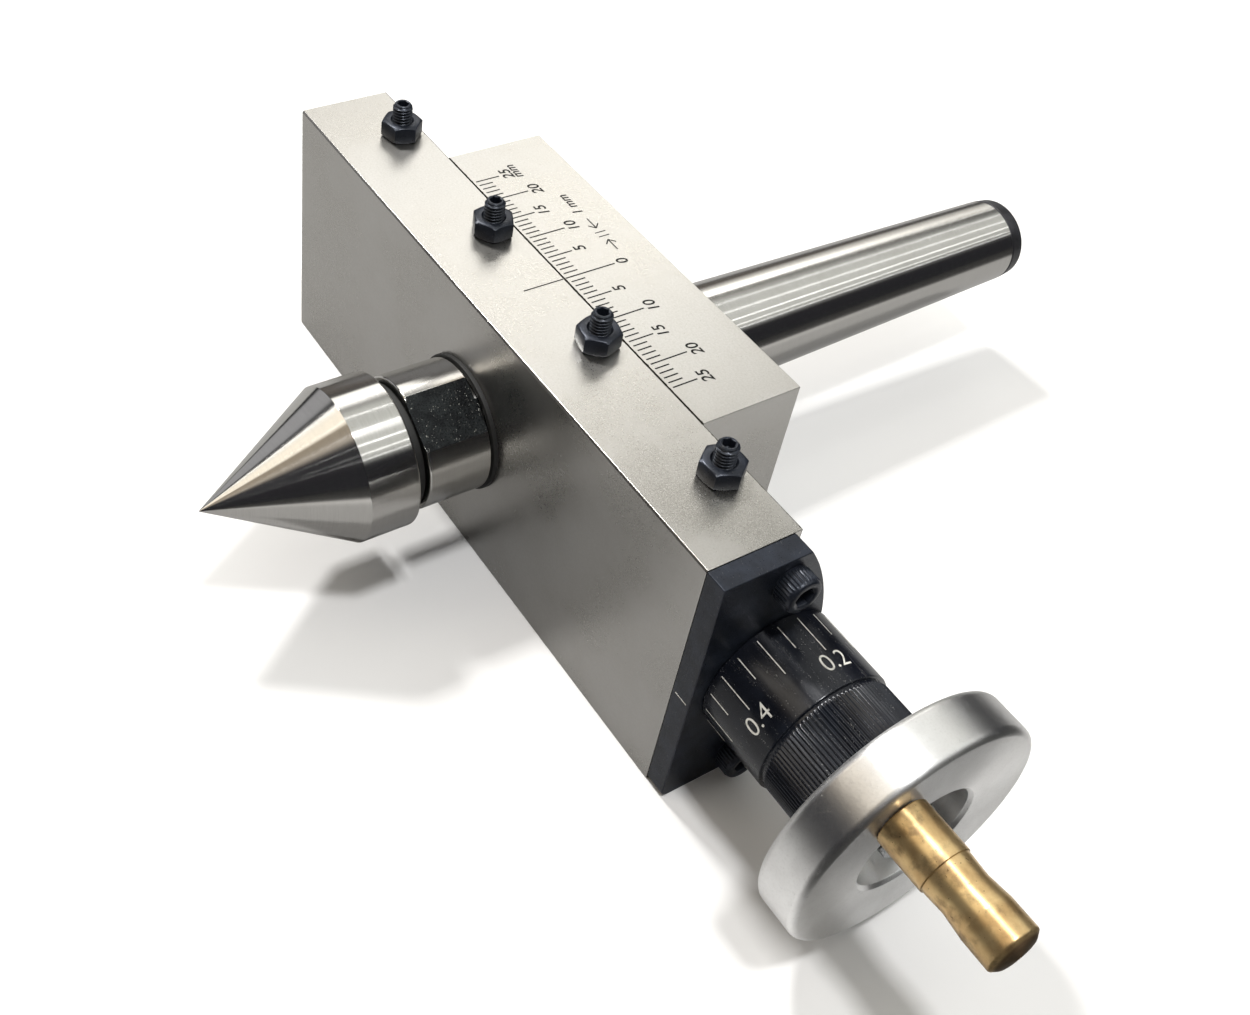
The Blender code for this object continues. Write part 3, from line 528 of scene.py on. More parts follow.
def hexagon(flats, angles):
    """Distance from the middle of a hexagon to its sides, by angle, corners at multiples of 60 degrees."""
    sector = np.mod(angles, math.pi / 3) - math.pi / 6
    return flats / 2 / np.cos(sector)


def thread(start, end, radius, pitch, depth, angles):
    """Rings of a right-hand screw thread. It runs out into its root at both ends."""
    count = round((end - start) / pitch * RINGS_PER_PITCH)
    run_out = pitch / 2
    rings = []
    for i in range(count + 1):
        along = start + (end - start) * i / count
        phase = np.mod(along / pitch - angles / TURN, 1.0)
        groove = np.clip(1.25 - np.abs(phase * 2 - 1) * 1.6, 0.0, 1.0)
        fade = min(1.0, (along - start) / run_out, (end - along) / run_out)
        rings.append((along, radius - depth * (1 - (1 - groove) * fade)))
    return rings


def settle(piece, body, slot, *nodes):
    """Let a piece ride on its body and stand for CAD nodes."""
    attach(piece, body)
    if nodes:
        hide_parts(*nodes)


# ---------------------------------------------------------------- blocks

SCREW_BORE_RADIUS = 4.7
ARBOR_BORE_START_Y = 4.0
ARBOR_BORE_RADIUS = 8.3
PIN_Y = 4.6
STUD_HOLE_RADIUS = 1.7
CENTER_BORE_RADIUS = 9.25
FRONT_CHAMFER_DROP, FRONT_CHAMFER_DEPTH = 0.28, 0.22
FLANGE_SEAM = 0.12


def flank(y, side, room=0.0):
    """Dovetail's outline point at y, above (1) or below (-1) its axis, moved outward by room."""
    height = TONGUE_ROOT_HALF + (SEAM_Y - y) * math.tan(SLANT) + room / math.cos(SLANT)
    return y, AXIS_Z + side * height


def make_fixed_block():
    """Fixed block with its tongue, bored for the lead screw, the arbor and the arbor's cross pin."""
    front = SEAM_Y + SEAM_HALF_GAP
    outline = (
        (FIXED.high.y, 0),
        (FIXED.high.y, TOP_Z),
        (front, TOP_Z),
        flank(front, 1),
        flank(TONGUE_TIP_Y, 1),
        flank(TONGUE_TIP_Y, -1),
        flank(front, -1),
        (front, 0),
    )
    block = prism("fixed_body", outline, FIXED.low.x, FIXED.high.x, "X", ORIGIN, GROUND_BLOCK)
    drill(block, FIXED.low.x - 1, FIXED.high.x + 1, SCREW_BORE_RADIUS, "X", SCREW_LINE)
    drill(block, ARBOR_BORE_START_Y, FIXED.high.y + 1, ARBOR_BORE_RADIUS, "Y", CENTER_LINE, 96)
    drill(block, -1, 6, STUD_HOLE_RADIUS, "Z", Vector((0, PIN_Y, 0)), 32)
    settle(soften(block, BLOCK_BEVEL), "base", "ground_block", "fixed_block")


def make_slide_block():
    """Slide block with its groove, wider above for the gib, bored for the center and the gib screws."""
    back = SEAM_Y - SEAM_HALF_GAP
    floor = TONGUE_TIP_Y - RUNNING_ROOM
    outline = (
        (SLIDE.low.y, 0),
        (SLIDE.low.y, TOP_Z - FRONT_CHAMFER_DROP),
        (SLIDE.low.y + FRONT_CHAMFER_DEPTH, TOP_Z),
        (back, TOP_Z),
        flank(back, 1, GIB_ROOM),
        flank(floor, 1, GIB_ROOM),
        flank(floor, -1, RUNNING_ROOM),
        flank(back, -1, RUNNING_ROOM),
        (back, 0),
    )
    right = FLANGE.low.x - FLANGE_SEAM
    block = prism("slide_body", outline, SLIDE.low.x, right, "X", ORIGIN, GROUND_BLOCK)
    drill(block, SLIDE.low.y - 1, floor + 1, CENTER_BORE_RADIUS, "Y", CENTER_LINE, 96)
    for i in GIB_SCREWS:
        middle = Span(f"gib_screw_{i}").middle
        drill(block, AXIS_Z + 12, TOP_Z + 1, STUD_HOLE_RADIUS, "Z", Vector((middle.x, middle.y, 0)), 32)
    settle(soften(block, BLOCK_BEVEL), "slide", "ground_block", "slide_block")


# ---------------------------------------------------------------- marks

# Marks on the top face: their depth, line widths, gaps behind the seam, and lettering
SCALE_REACH = 25
MARK_LOW = TOP_Z - 0.08
MARK_HIGH = TOP_Z + 0.012
MARK_DEPTH = MARK_HIGH - MARK_LOW
TICK_WIDTH = 0.23
TICK_GAP = 0.56
ZERO_TICK_GAP = SEAM_HALF_GAP + 0.17
ZERO_MARK_END = 6.66
LINE_WIDTH = 0.2
NUMERAL_HEIGHT = 1.75
NUMERAL_GAP = 1.45
WORD_HEIGHT = 1.6
LEAN = 0.18
SCALE_WEIGHT = 0.035
CAPITAL_SHARE = 0.72
ARROWS_Y = 2.75
ARROW_HALF_WIDTH = 0.85
ARROW_BARB = 0.9


def tick_end(value):
    """How far behind the seam a scale tick ends."""
    if value == 0:
        return 8.57
    if value % 10 == 0:
        return 6.58
    return 4.57 if value % 5 == 0 else 2.85


def glyphs(bm, text, height, place, thickness, shear=0.0, weight=0.0):
    """Closed raised characters centred on the origin of place, their strokes widened by weight."""
    curve = bpy.data.curves.new("glyphs", "FONT")
    curve.body = text
    curve.size = height / CAPITAL_SHARE
    curve.shear = shear
    curve.offset = weight
    curve.extrude = thickness / 2
    curve.align_x = "CENTER"
    curve.align_y = "CENTER"
    holder = bpy.data.objects.new("glyphs", curve)
    bpy.context.scene.collection.objects.link(holder)
    bpy.context.view_layer.update()
    mesh = bpy.data.meshes.new_from_object(holder.evaluated_get(bpy.context.evaluated_depsgraph_get()))
    mesh.transform(place)
    bm.from_mesh(mesh)
    bpy.data.objects.remove(holder)
    bpy.data.meshes.remove(mesh)


def stroke(bm, start, end, width, low, high):
    """Closed thin level box from start to end."""
    start, end = Vector(start), Vector(end)
    way = (end - start).normalized()
    aside = Vector((-way.y, way.x)) * (width / 2)
    ring = [start - aside, end - aside, end + aside, start + aside]
    layers = [[bm.verts.new((p.x, p.y, z)) for p in ring] for z in (low, high)]
    for i in range(4):
        k = (i + 1) % 4
        bm.faces.new((layers[0][i], layers[0][k], layers[1][k], layers[1][i]))
    bm.faces.new(layers[0][::-1])
    bm.faces.new(layers[1])


def top_line(bm, start, end, width=LINE_WIDTH):
    """Filled line on the blocks' top face."""
    stroke(bm, start, end, width, MARK_LOW, MARK_HIGH)


def top_text(bm, text, height, x, y):
    """Leaning characters on the top face, read from the +Y side."""
    middle = Matrix.Translation((x, y, (MARK_LOW + MARK_HIGH) / 2))
    glyphs(bm, text, height, middle @ Matrix.Rotation(math.pi, 4, "Z"), MARK_DEPTH, LEAN, SCALE_WEIGHT)


def make_scale():
    """Offset scale on the fixed block, with its unit and two arrows, and the slide's zero mark."""
    bm = bmesh.new()
    for value in range(-SCALE_REACH, SCALE_REACH + 1):
        start = SEAM_Y + (TICK_GAP if value else ZERO_TICK_GAP)
        top_line(bm, (value, start), (value, SEAM_Y + tick_end(value)), TICK_WIDTH)
    for value in range(-SCALE_REACH, SCALE_REACH + 1, 5):
        top_text(bm, str(abs(value)), NUMERAL_HEIGHT, value, SEAM_Y + tick_end(value) + NUMERAL_GAP)
    top_text(bm, "mm", WORD_HEIGHT, -25.2, -0.75)
    top_text(bm, "1 mm", WORD_HEIGHT, -14.5, 2.5)
    for x in (-7.1, -6.1):
        top_line(bm, (x, ARROWS_Y - 0.9), (x, ARROWS_Y + 0.9), 0.18)
    for tip, tail in ((-8.1, -10.6), (-5.1, -2.6)):
        back = ARROW_BARB * math.copysign(1, tail - tip)
        top_line(bm, (tip, ARROWS_Y), (tail, ARROWS_Y))
        for side in (-ARROW_HALF_WIDTH, ARROW_HALF_WIDTH):
            top_line(bm, (tip, ARROWS_Y), (tip + back, ARROWS_Y + side))
    settle(new_piece("scale_marks", bm, BLACK_FILL), "base", "black_oxide")
    bm = bmesh.new()
    top_line(bm, (0, SEAM_Y - ZERO_MARK_END), (0, SEAM_Y - ZERO_TICK_GAP))
    settle(new_piece("zero_mark", bm, BLACK_FILL), "slide", "black_oxide")


# ---------------------------------------------------------------- arbor and live center

TAPER = 0.02497
TAPER_BIG_RADIUS = 8.99
SPIGOT_RADIUS = 7.0
BAND_Y = 83.97

# Live center, along Y: bores of the body and steps of the point's spindle, and the wrench flats
FRONT_BORE_RADIUS = 7.3
REAR_BORE_RADIUS = 6.0
BORE_STEP_Y = -22.9
SHOULDER_Y = -23.76
BODY_SPIGOT_RADIUS = 9.0
JOURNAL_RADIUS, JOURNAL_START_Y, JOURNAL_END_Y = 3.5, -32.1, -23.2
SPINDLE_RADIUS = 2.5
CLIP_RADIUS, CLIP_START_Y, CLIP_END_Y = 2.0, -19.85, -18.65
COLLAR_RADIUS = 5.0
FLAT_DISTANCE = 8.96
FLAT_ANGLE = math.radians(90 - 58.3)
# The black ring behind the body is painted shade: it stands in for the shaded gap and contact shadow at the slide
# block.
SHADE_RING_BORE_RADIUS, SHADE_RING_RADIUS = 9.3, 10.2
SEAL_BORE_RADIUS, SEAL_RADIUS = 5.3, 9.2


def make_arbor():
    """Morse taper arbor with its spigot in the fixed block and a dark band at its small end."""
    start = FIXED.high.y - 0.3
    band, big = BAND_Y, TAPER_BIG_RADIUS
    band_radius = big - TAPER * (band - FIXED.high.y)
    end = ARBOR.high.y
    corners = (
        (ARBOR.low.y, 0.5, 0),
        (ARBOR.low.y, SPIGOT_RADIUS, 0.4),
        (start, SPIGOT_RADIUS, 0),
        (start, big - 0.15, 0),
        (start + 0.4, big, 0.1),
        (band, band_radius, 0),
        (band + 0.02, band_radius - 0.12, 0),
        (band + 0.35, band_radius - 0.12, 0.05),
        (band + 0.45, band_radius - 0.02, 0.05),
        (end, band_radius - 0.35, 0.85),
        (end, 2.2, 0),
        (end - 0.9, 1.2, 0),
    )
    points = rounded(corners, steps=6)
    dark_from = next(i for i, p in enumerate(points) if p.x >= band)
    finishes = (GROUND_ROUND, BLACK_BAND)
    arbor = turned("arbor_shank", corners, "Y", CENTER_LINE, finishes, 160, steps=6,
                   paint=lambda i: int(i >= dark_from))
    settle(arbor, "base", "ground_round", "taper_arbor")


def make_center():
    """Live center: the turning point, the body with its wrench flats, a black ring of painted shade in the gap
    behind the body, and the dust seal.
    """
    tip = POINT.low.y
    rear = DUST.low.y - 0.3
    radius = POINT.high.x
    cone_end = tip + radius / math.tan(SLANT)
    corners = (
        (tip, 0.03, 0),
        (tip + 0.04, 0.08, 0),
        (cone_end, radius, 0.12),
        (rear, radius, 0.35),
        (rear, COLLAR_RADIUS, 0),
        (JOURNAL_START_Y, COLLAR_RADIUS, 0),
        (JOURNAL_START_Y, JOURNAL_RADIUS, 0),
        (JOURNAL_END_Y, JOURNAL_RADIUS, 0),
        (JOURNAL_END_Y, SPINDLE_RADIUS, 0),
        (CLIP_START_Y, SPINDLE_RADIUS, 0),
        (CLIP_START_Y, CLIP_RADIUS, 0),
        (CLIP_END_Y, CLIP_RADIUS, 0),
        (CLIP_END_Y, SPINDLE_RADIUS, 0.1),
        (POINT.high.y, SPINDLE_RADIUS, 0.2),
        (POINT.high.y, 0.3, 0),
    )
    cone = turned("center_cone", corners, "Y", CENTER_LINE, GROUND_ROUND, 192)
    settle(cone, "point", "ground_round", "center_point")
    make_center_housing()
    # Painted shade: a thin black ring between the body and the slide block stands in for the shaded gap there.
    corners = flat_ring(SHADE_RING.low.y, SLIDE.low.y - 0.02, SHADE_RING_BORE_RADIUS, SHADE_RING_RADIUS, (0.05, 0.1, 0, 0))
    shade_ring = turned("gap_shade_ring", corners, "Y", CENTER_LINE, RUBBER, loop=True)
    settle(shade_ring, "slide", "black_oxide", "center_seat_ring")
    corners = flat_ring(DUST.low.y, DUST.high.y, SEAL_BORE_RADIUS, SEAL_RADIUS, (0, 0.3, 0.3, 0))
    seal = turned("dust_seal", corners, "Y", CENTER_LINE, RUBBER, loop=True)
    settle(seal, "slide", "seal_rubber", "dust_ring")


def make_center_housing():
    """Body of the center: a hollow turning whose outside is cut back to two wrench flats."""
    front, radius = BODY.low.y, BODY.high.x
    half = math.acos(FLAT_DISTANCE / radius)
    flat_edges = [FLAT_ANGLE + turn + edge for turn in (0, math.pi) for edge in (-half, half)]
    angles = np.sort(np.mod(np.concatenate([spread(192), flat_edges]), TURN))
    facing = np.abs(np.mod(angles - FLAT_ANGLE + math.pi / 2, math.pi) - math.pi / 2)
    limit = np.where(facing < half, FLAT_DISTANCE / np.cos(facing), 99.0)
    corners = (
        (BORE_STEP_Y, FRONT_BORE_RADIUS, 0),
        (front, FRONT_BORE_RADIUS, 0.2),
        (front, radius, 0.3),
        (SHOULDER_Y, radius, 0.15),
        (SHOULDER_Y, BODY_SPIGOT_RADIUS, 0),
        (BODY.high.y, BODY_SPIGOT_RADIUS, 0.3),
        (BODY.high.y, REAR_BORE_RADIUS, 0.2),
        (BORE_STEP_Y, REAR_BORE_RADIUS, 0),
    )
    rings = [(p.x, np.minimum(p.y, limit)) for p in rounded(corners, closed=True)]
    finishes = (GROUND_ROUND, BLACK_FLAT)
    housing = ring_stack("center_housing", rings, "Y", CENTER_LINE, finishes, angles=angles, loop=True)
    paint_flats(housing)
    even_normals(housing)
    settle(housing, "slide", "ground_round", "center_body")


def paint_flats(piece):
    """Give the wrench flats their own material."""
    out = Vector((math.sin(FLAT_ANGLE), 0, math.cos(FLAT_ANGLE)))
    for face in piece.data.polygons:
        offset = face.center / MM - CENTER_LINE
        level = abs(face.normal.dot(out)) > 0.999
        face.material_index = int(level and abs(offset.dot(out)) > FLAT_DISTANCE - 0.05)


# ---------------------------------------------------------------- flange, screws and nuts

FLANGE_ARC_RADIUS, FLANGE_ARC_Y, FLANGE_ARC_STEPS = 36.95, -39.65, 40
NECK_HOLE_RADIUS = 3.3
INDEX_Z = 20.05
CAP_TEETH, CAP_KNURL_DEPTH, CAP_STEM_START_X, CAP_SOCKET = 36, 0.14, 44.2, 2.5
STEM_RADIUS = 1.5
STUD_SOCKET = 1.5
GIB_NUT_FLATS = 5.5
GIB_NUT_TURNS = (12, 33, 48, 5)
NUT_CHAMFER = math.tan(math.radians(28))


def make_flange():
    """End flange with its arched back edge, and the white index line on its front edge."""
    low, high = FLANGE.low, FLANGE.high
    reach = math.asin(AXIS_Z / FLANGE_ARC_RADIUS)
    arc_end = FLANGE_ARC_Y + FLANGE_ARC_RADIUS * math.cos(reach)
    corners = [(low.y, 0, 1.2), (arc_end, 0, 0.8)]
    for i in range(1, FLANGE_ARC_STEPS):
        angle = -reach + 2 * reach * i / FLANGE_ARC_STEPS
        y = FLANGE_ARC_Y + FLANGE_ARC_RADIUS * math.cos(angle)
        corners.append((y, AXIS_Z + FLANGE_ARC_RADIUS * math.sin(angle), 0))
    corners += [(arc_end, TOP_Z, 0.5), (low.y, TOP_Z, 0.15)]
    outline = rounded(corners, closed=True)
    plate = prism("flange_plate", outline, SLIDE.high.x + 0.25, high.x, "X", ORIGIN, BLACK_OXIDE)
    drill(plate, low.x - 2, high.x + 1, NECK_HOLE_RADIUS, "X", SCREW_LINE)
    settle(soften(plate, 0.22), "slide", "black_oxide", "end_flange")
    bm = bmesh.new()
    y = low.y + 0.038
    stroke(bm, (low.x + 0.5, y), (high.x - 0.5, y), 0.1, INDEX_Z, INDEX_Z + 0.15)
    settle(new_piece("flange_index", bm, WHITE_FILL), "slide", "black_dial")


def make_cap_screw(name, node):
    """Socket cap screw with a straight knurl round its head."""
    box = Span(node)
    middle = box.middle
    centre = Vector((0, middle.y, middle.z))
    head, end = FLANGE.high.x + 0.02, box.high.x
    radius = box.high.y - middle.y
    stem = CAP_STEM_START_X
    angles = spread(CAP_TEETH * 6)
    knurled = radius - CAP_KNURL_DEPTH * (0.5 + 0.5 * np.cos(angles * CAP_TEETH))
    socket = hexagon(CAP_SOCKET, angles)
    rings = [
        (stem, 0.6), (stem, 1.2), (stem + 0.4, STEM_RADIUS), (head, STEM_RADIUS), (head, radius - 0.3),
        (head + 0.05, radius - 0.15), (head + 0.3, radius - 0.12), (head + 0.4, knurled),
        (end - 0.62, knurled), (end - 0.5, radius - 0.13),
        (end - 0.25, radius - 0.18), (end - 0.07, radius - 0.30), (end, radius - 0.45),
        (end, 1.62), (end - 0.05, 1.55), (end - 0.12, np.minimum(1.5, socket * 1.03)),
        (end - 0.2, socket), (end - 1.4, socket), (end - 1.75, 0.2),
    ]
    screw = ring_stack(name, rings, "X", centre, BLACK_OXIDE, angles=angles)
    settle(screw, "slide", "black_oxide", node)


def make_gib_screw(index):
    """Set screw with its thread standing out of the block, and a hexagon socket in its top."""
    node = f"gib_screw_{index}"
    box = Span(node)
    centre = Vector((box.middle.x, box.middle.y, 0))
    angles = spread(96)
    top = box.high.z
    turn = Matrix.Rotation(0.7 * index, 4, "Z")
    socket = hexagon(STUD_SOCKET, angles + 0.5)
    rings = [(box.low.z, 0.6), (box.low.z, 1.0), (box.low.z + 0.3, 1.3), (TOP_Z - 1.5, 1.3)]
    rings += thread(TOP_Z - 1.4, top - 0.22, STEM_RADIUS, 0.5, 0.3, angles)
    rings += [(top - 0.12, 1.22), (top, 1.08), (top, 0.93), (top - 0.08, np.minimum(0.88, socket * 1.04)),
              (top - 0.16, socket), (top - 1.3, socket), (top - 1.5, 0.1)]
    screw = ring_stack(f"gib_stud_{index}", rings, "Z", ORIGIN, BLACK_OXIDE, angles=angles)
    screw.data.transform(Matrix.Translation(centre * MM) @ turn)
    settle(screw, "slide", "black_oxide", node)


def make_gib_nut(index):
    """Hexagon lock nut, chamfered above and below, with the thread's mouth chamfered."""
    node = f"gib_nut_{index}"
    box = Span(node)
    angles = spread(120)
    outer = hexagon(GIB_NUT_FLATS, angles)
    eased = np.maximum(2.72, outer - 0.03)
    chamfer = np.maximum(0, outer - 2.72) * NUT_CHAMFER
    low, high = TOP_Z + 0.01, box.high.z
    rings = [
        (low, 1.75), (low, 2.62), (low + 0.04 + chamfer, eased), (low + 0.1 + chamfer, outer),
        (high - 0.1 - chamfer, outer), (high - 0.04 - chamfer, eased),
        (high, 2.62), (high, 1.8), (high - 0.28, 1.53), (low + 0.28, 1.53),
    ]
    nut = ring_stack(f"gib_locknut_{index}", rings, "Z", ORIGIN, BLACK_OXIDE, angles=angles, loop=True)
    place = Matrix.Translation(Vector((box.middle.x, box.middle.y, 0)) * MM)
    nut.data.transform(place @ Matrix.Rotation(math.radians(GIB_NUT_TURNS[index - 1]), 4, "Z"))
    settle(nut, "slide", "black_oxide", node)


# ---------------------------------------------------------------- dial, wheel and handle

KNURL_X, KNURL_RADIUS, KNURL_TEETH = 67.1, 9.62, 100
KNURL_DEPTH, KNURL_LAND, KNURL_RUN_IN = 0.2, 0.16, 4
DIAL_BORE_RADIUS = 6.3
DIAL_DIVISIONS, DIAL_DIVISION = 20, 0.05
DIAL_ZERO_ANGLE, DIAL_STEP_ANGLE = 9, 18
DIAL_MARK_DEPTH, DIAL_MARK_PROUD, DIAL_MARK_WIDTH = 0.12, 0.03, 0.13
DIAL_NUMERAL_HEIGHT, DIAL_WEIGHT = 2.5, -0.03

# Wheel, its washer and nut, along X
RECESS_RADIUS = 8.3
RECESS_FLOOR_X = 79.4
BOLT_HEAD_BORE_RADIUS, BOLT_HEAD_BORE_END_X = 2.7, 79.2
SHAFT_HOLE_RADIUS = 2.8
WASHER_RADIUS, WASHER_END_X = 5.0, 80.2
WHEEL_NUT_FLATS, WHEEL_NUT_START_X, WHEEL_NUT_END_X = 8.0, 80.22, 82.8

# Lead screw, along X: thread, collar, neck and shaft
LEAD_RADIUS, LEAD_PITCH, LEAD_DEPTH, LEAD_END_X = 3.0, 1.0, 0.55, 48.6
COLLAR_START_X, COLLAR_END_X, COLLAR_TOP = 48.7, 50.9, 4.2
NECK_END_X = 56.5
SHAFT_RADIUS = 2.5
SHAFT_THREAD_X = 80.0

# Brass handle and its bolt, along X
HANDLE_RADIUS = 3.5
HANDLE_STEP_X = 90.75
HANDLE_BORE_END_X = 93.4
BOLT_HEAD_START_X, BOLT_HEAD_END_X, BOLT_END_X = 77.0, 78.9, 93.0
BOLT_HEAD_RADIUS = 2.4
BOLT_SOCKET = 2.0


def make_dial():
    """Graduated dial with a knurled rear rim, whose teeth deepen from a plain land."""
    start, end = FLANGE.high.x + 0.05, WHEEL.low.x - 0.08
    radius = DIAL.high.z - SCREW_LINE.z
    land = KNURL_RADIUS - KNURL_LAND
    angles = spread(KNURL_TEETH * 6)
    tooth = KNURL_DEPTH * (0.5 - 0.5 * np.cos(angles * KNURL_TEETH))
    rings = [
        (start, DIAL_BORE_RADIUS), (start, radius - 0.25), (start + 0.08, radius - 0.08),
        (start + 0.25, radius), (KNURL_X - 0.25, radius), (KNURL_X - 0.08, radius - 0.06),
        (KNURL_X, radius - 0.22), (KNURL_X + 0.05, land), (KNURL_X + 0.25, land),
    ]
    for k in range(KNURL_RUN_IN + 1):
        share = k / KNURL_RUN_IN
        rings.append((KNURL_X + 0.3 + 0.5 * share, land + share * (KNURL_LAND - tooth)))
    rings += [
        (end - 0.45, KNURL_RADIUS - tooth), (end - 0.1, KNURL_RADIUS - 0.25),
        (end, KNURL_RADIUS - 0.45), (end, DIAL_BORE_RADIUS),
    ]
    dial = ring_stack("dial_ring", rings, "X", SCREW_LINE, BLACK_DIAL, angles=angles, loop=True)
    settle(even_normals(dial), "dial", "black_dial", "dial_collar")
    make_dial_marks(radius)


def wrap(bm, first, radius, angle, x):
    """Bend the flat mark that starts at vertex first on to the dial, its up towards the flange."""
    for v in list(bm.verts)[first:]:
        around = angle - v.co.x / radius
        r = radius - DIAL_MARK_DEPTH / 2 + v.co.z
        v.co = Vector((x - v.co.y, SCREW_LINE.y + r * math.cos(around), SCREW_LINE.z + r * math.sin(around)))


def make_dial_marks(radius):
    """Twenty graduations of 0.05 and a numeral every fourth."""
    bm = bmesh.new()
    depth = DIAL_MARK_DEPTH
    proud = radius + DIAL_MARK_PROUD
    for i in range(DIAL_DIVISIONS):
        angle = math.radians(DIAL_ZERO_ANGLE + i * DIAL_STEP_ANGLE)
        first = len(bm.verts)
        start, end = DIAL.low.x + 0.6, DIAL.low.x + (4.1 if i % 2 else 6.05)
        stroke(bm, (0, 0), (0, end - start), DIAL_MARK_WIDTH, -depth / 2, depth / 2)
        wrap(bm, first, proud, angle, end)
        if i % 4 == 0:
            first = len(bm.verts)
            text = f"{i * DIAL_DIVISION:.1f}" if i else "0"
            glyphs(bm, text, DIAL_NUMERAL_HEIGHT, Matrix.Identity(4), depth, weight=DIAL_WEIGHT)
            wrap(bm, first, proud, angle, DIAL.low.x + 7.8)
    settle(new_piece("dial_marks", bm, WHITE_FILL), "dial", "black_dial")


def make_wheel():
    """Hand wheel with its open recess, its flat washer and its nut."""
    start, end = WHEEL.low.x, WHEEL.high.x
    radius = WHEEL.high.z - SCREW_LINE.z
    recess, floor, hole = RECESS_RADIUS, RECESS_FLOOR_X, SHAFT_HOLE_RADIUS
    corners = (
        (start, hole, 0.1),
        (start, radius, 1.1),
        (end, radius, 1.0),
        (end, recess + 0.45, 0.15),
        (end - 0.45, recess, 0.15),
        (floor, recess, 0.5),
        (floor, hole, 0.1),
    )
    wheel = turned("wheel_disc", corners, "X", SCREW_LINE, WHEEL_ALUMINIUM, 192, loop=True, steps=6)
    wheel.modifiers.clear()
    drill(wheel, start - 1, BOLT_HEAD_BORE_END_X, BOLT_HEAD_BORE_RADIUS, "X", HANDLE_LINE, 48)
    drill(wheel, start - 1, end + 1, 1.8, "X", HANDLE_LINE, 32)
    even_normals(wheel)
    settle(wheel, "screw", "wheel_aluminium", "handwheel")
    make_wheel_nut()
    corners = flat_ring(floor + 0.02, WASHER_END_X, hole, WASHER_RADIUS, (0.05, 0.08, 0.08, 0.05))
    washer = turned("wheel_flat_washer", corners, "X", SCREW_LINE, SPRING_STEEL, 96, loop=True)
    settle(washer, "screw", "spring_steel", "wheel_washer")


def make_wheel_nut():
    """Chamfered hexagon nut on the shaft's end thread."""
    angles = spread(120)
    outer = hexagon(WHEEL_NUT_FLATS, angles)
    chamfer = np.maximum(0, outer - 3.95) * NUT_CHAMFER
    low, high = WHEEL_NUT_START_X, WHEEL_NUT_END_X
    rings = [
        (low, 2.8), (low, 3.85), (low + 0.05 + chamfer, outer), (high - 0.05 - chamfer, outer),
        (high, 3.85), (high, 3.05), (high - 0.3, 2.6), (low + 0.2, 2.6),
    ]
    nut = ring_stack("wheel_hex_nut", rings, "X", SCREW_LINE, SPRING_STEEL, angles=angles, loop=True)
    settle(nut, "screw", "spring_steel", "wheel_nut")


def make_lead_screw():
    """Lead screw with its collar, neck and shaft, and the thread that holds the wheel's nut."""
    start, end = ROD.low.x, ROD.high.x
    angles = spread(48)
    low, high = COLLAR_START_X, COLLAR_END_X
    rings = [(start, 0.4), (start, 2.2), (start + 0.6, 2.42)]
    rings += thread(start + 0.65, LEAD_END_X, LEAD_RADIUS, LEAD_PITCH, LEAD_DEPTH, angles)
    rings += [
        (low, 2.45), (low, COLLAR_TOP - 0.1), (low + 0.1, COLLAR_TOP), (high - 0.1, COLLAR_TOP),
        (high, COLLAR_TOP - 0.1), (high, LEAD_RADIUS), (NECK_END_X, LEAD_RADIUS),
        (NECK_END_X, SHAFT_RADIUS), (SHAFT_THREAD_X - 0.1, SHAFT_RADIUS),
    ]
    rings += thread(SHAFT_THREAD_X, end - 0.3, SHAFT_RADIUS + 0.05, 0.5, 0.3, angles)
    rings += [(end - 0.2, 2.2), (end, 2.0), (end, 0.4)]
    screw = ring_stack("screw_rod", rings, "X", SCREW_LINE, SPRING_STEEL, angles=angles)
    settle(screw, "screw", "spring_steel", "lead_screw")


def make_handle():
    """Brass handle with its shoulder, waist and domed end, and the shoulder bolt it spins on."""
    start, end = HANDLE.low.x - 0.15, HANDLE.high.x
    corners = (
        (start, 1.8, 0),
        (start, HANDLE_RADIUS - 0.15, 0),
        (start + 0.15, HANDLE_RADIUS, 0.1),
        (HANDLE_STEP_X, HANDLE_RADIUS, 0.08),
        (HANDLE_STEP_X + 0.07, 3.3, 0.04),
        (HANDLE_STEP_X + 0.45, 3.32, 0.4),
        (93.8, 3.16, 4.0),
        (96.7, 3.46, 0.3),
        (96.9, HANDLE_RADIUS, 0.2),
        (end - 0.95, HANDLE_RADIUS, 0.35),
        (end - 0.35, 2.6, 1.2),
        (end, 0.25, 0),
        (HANDLE_BORE_END_X, 0.2, 0),
        (HANDLE_BORE_END_X, 1.8, 0),
    )
    handle = turned("crank_handle", corners, "X", HANDLE_LINE, BRASS, 128, loop=True, steps=6)
    settle(handle, "grip", "handle_brass", "brass_handle")
    angles = spread(96)
    socket = hexagon(BOLT_SOCKET, angles)
    head, under, end = BOLT_HEAD_START_X, BOLT_HEAD_END_X, BOLT_END_X
    rings = [
        (head + 1.2, 0.2), (head + 1.0, socket), (head + 0.1, socket), (head, socket * 1.05),
        (head, BOLT_HEAD_RADIUS - 0.2), (head + 0.1, BOLT_HEAD_RADIUS - 0.05),
        (head + 0.3, BOLT_HEAD_RADIUS), (under, BOLT_HEAD_RADIUS), (under, STEM_RADIUS),
        (end - 0.2, STEM_RADIUS), (end, 1.3), (end, 0.2),
    ]
    bolt = ring_stack("handle_bolt", rings, "X", HANDLE_LINE, SPRING_STEEL, angles=angles)
    settle(bolt, "screw", "spring_steel", "handle_screw")


def dress_kept_nodes():
    """Every CAD node that still shows gets its slot's material."""
    for part in frame["record"]["subparts"]:
        node = frame["nodes"][part["node"]]
        if node.hide_render:
            continue
        node.data.materials.clear()
        node.data.materials.append(SLOT_MATERIALS[part["material_slot"]])


# ---------------------------------------------------------------- stage

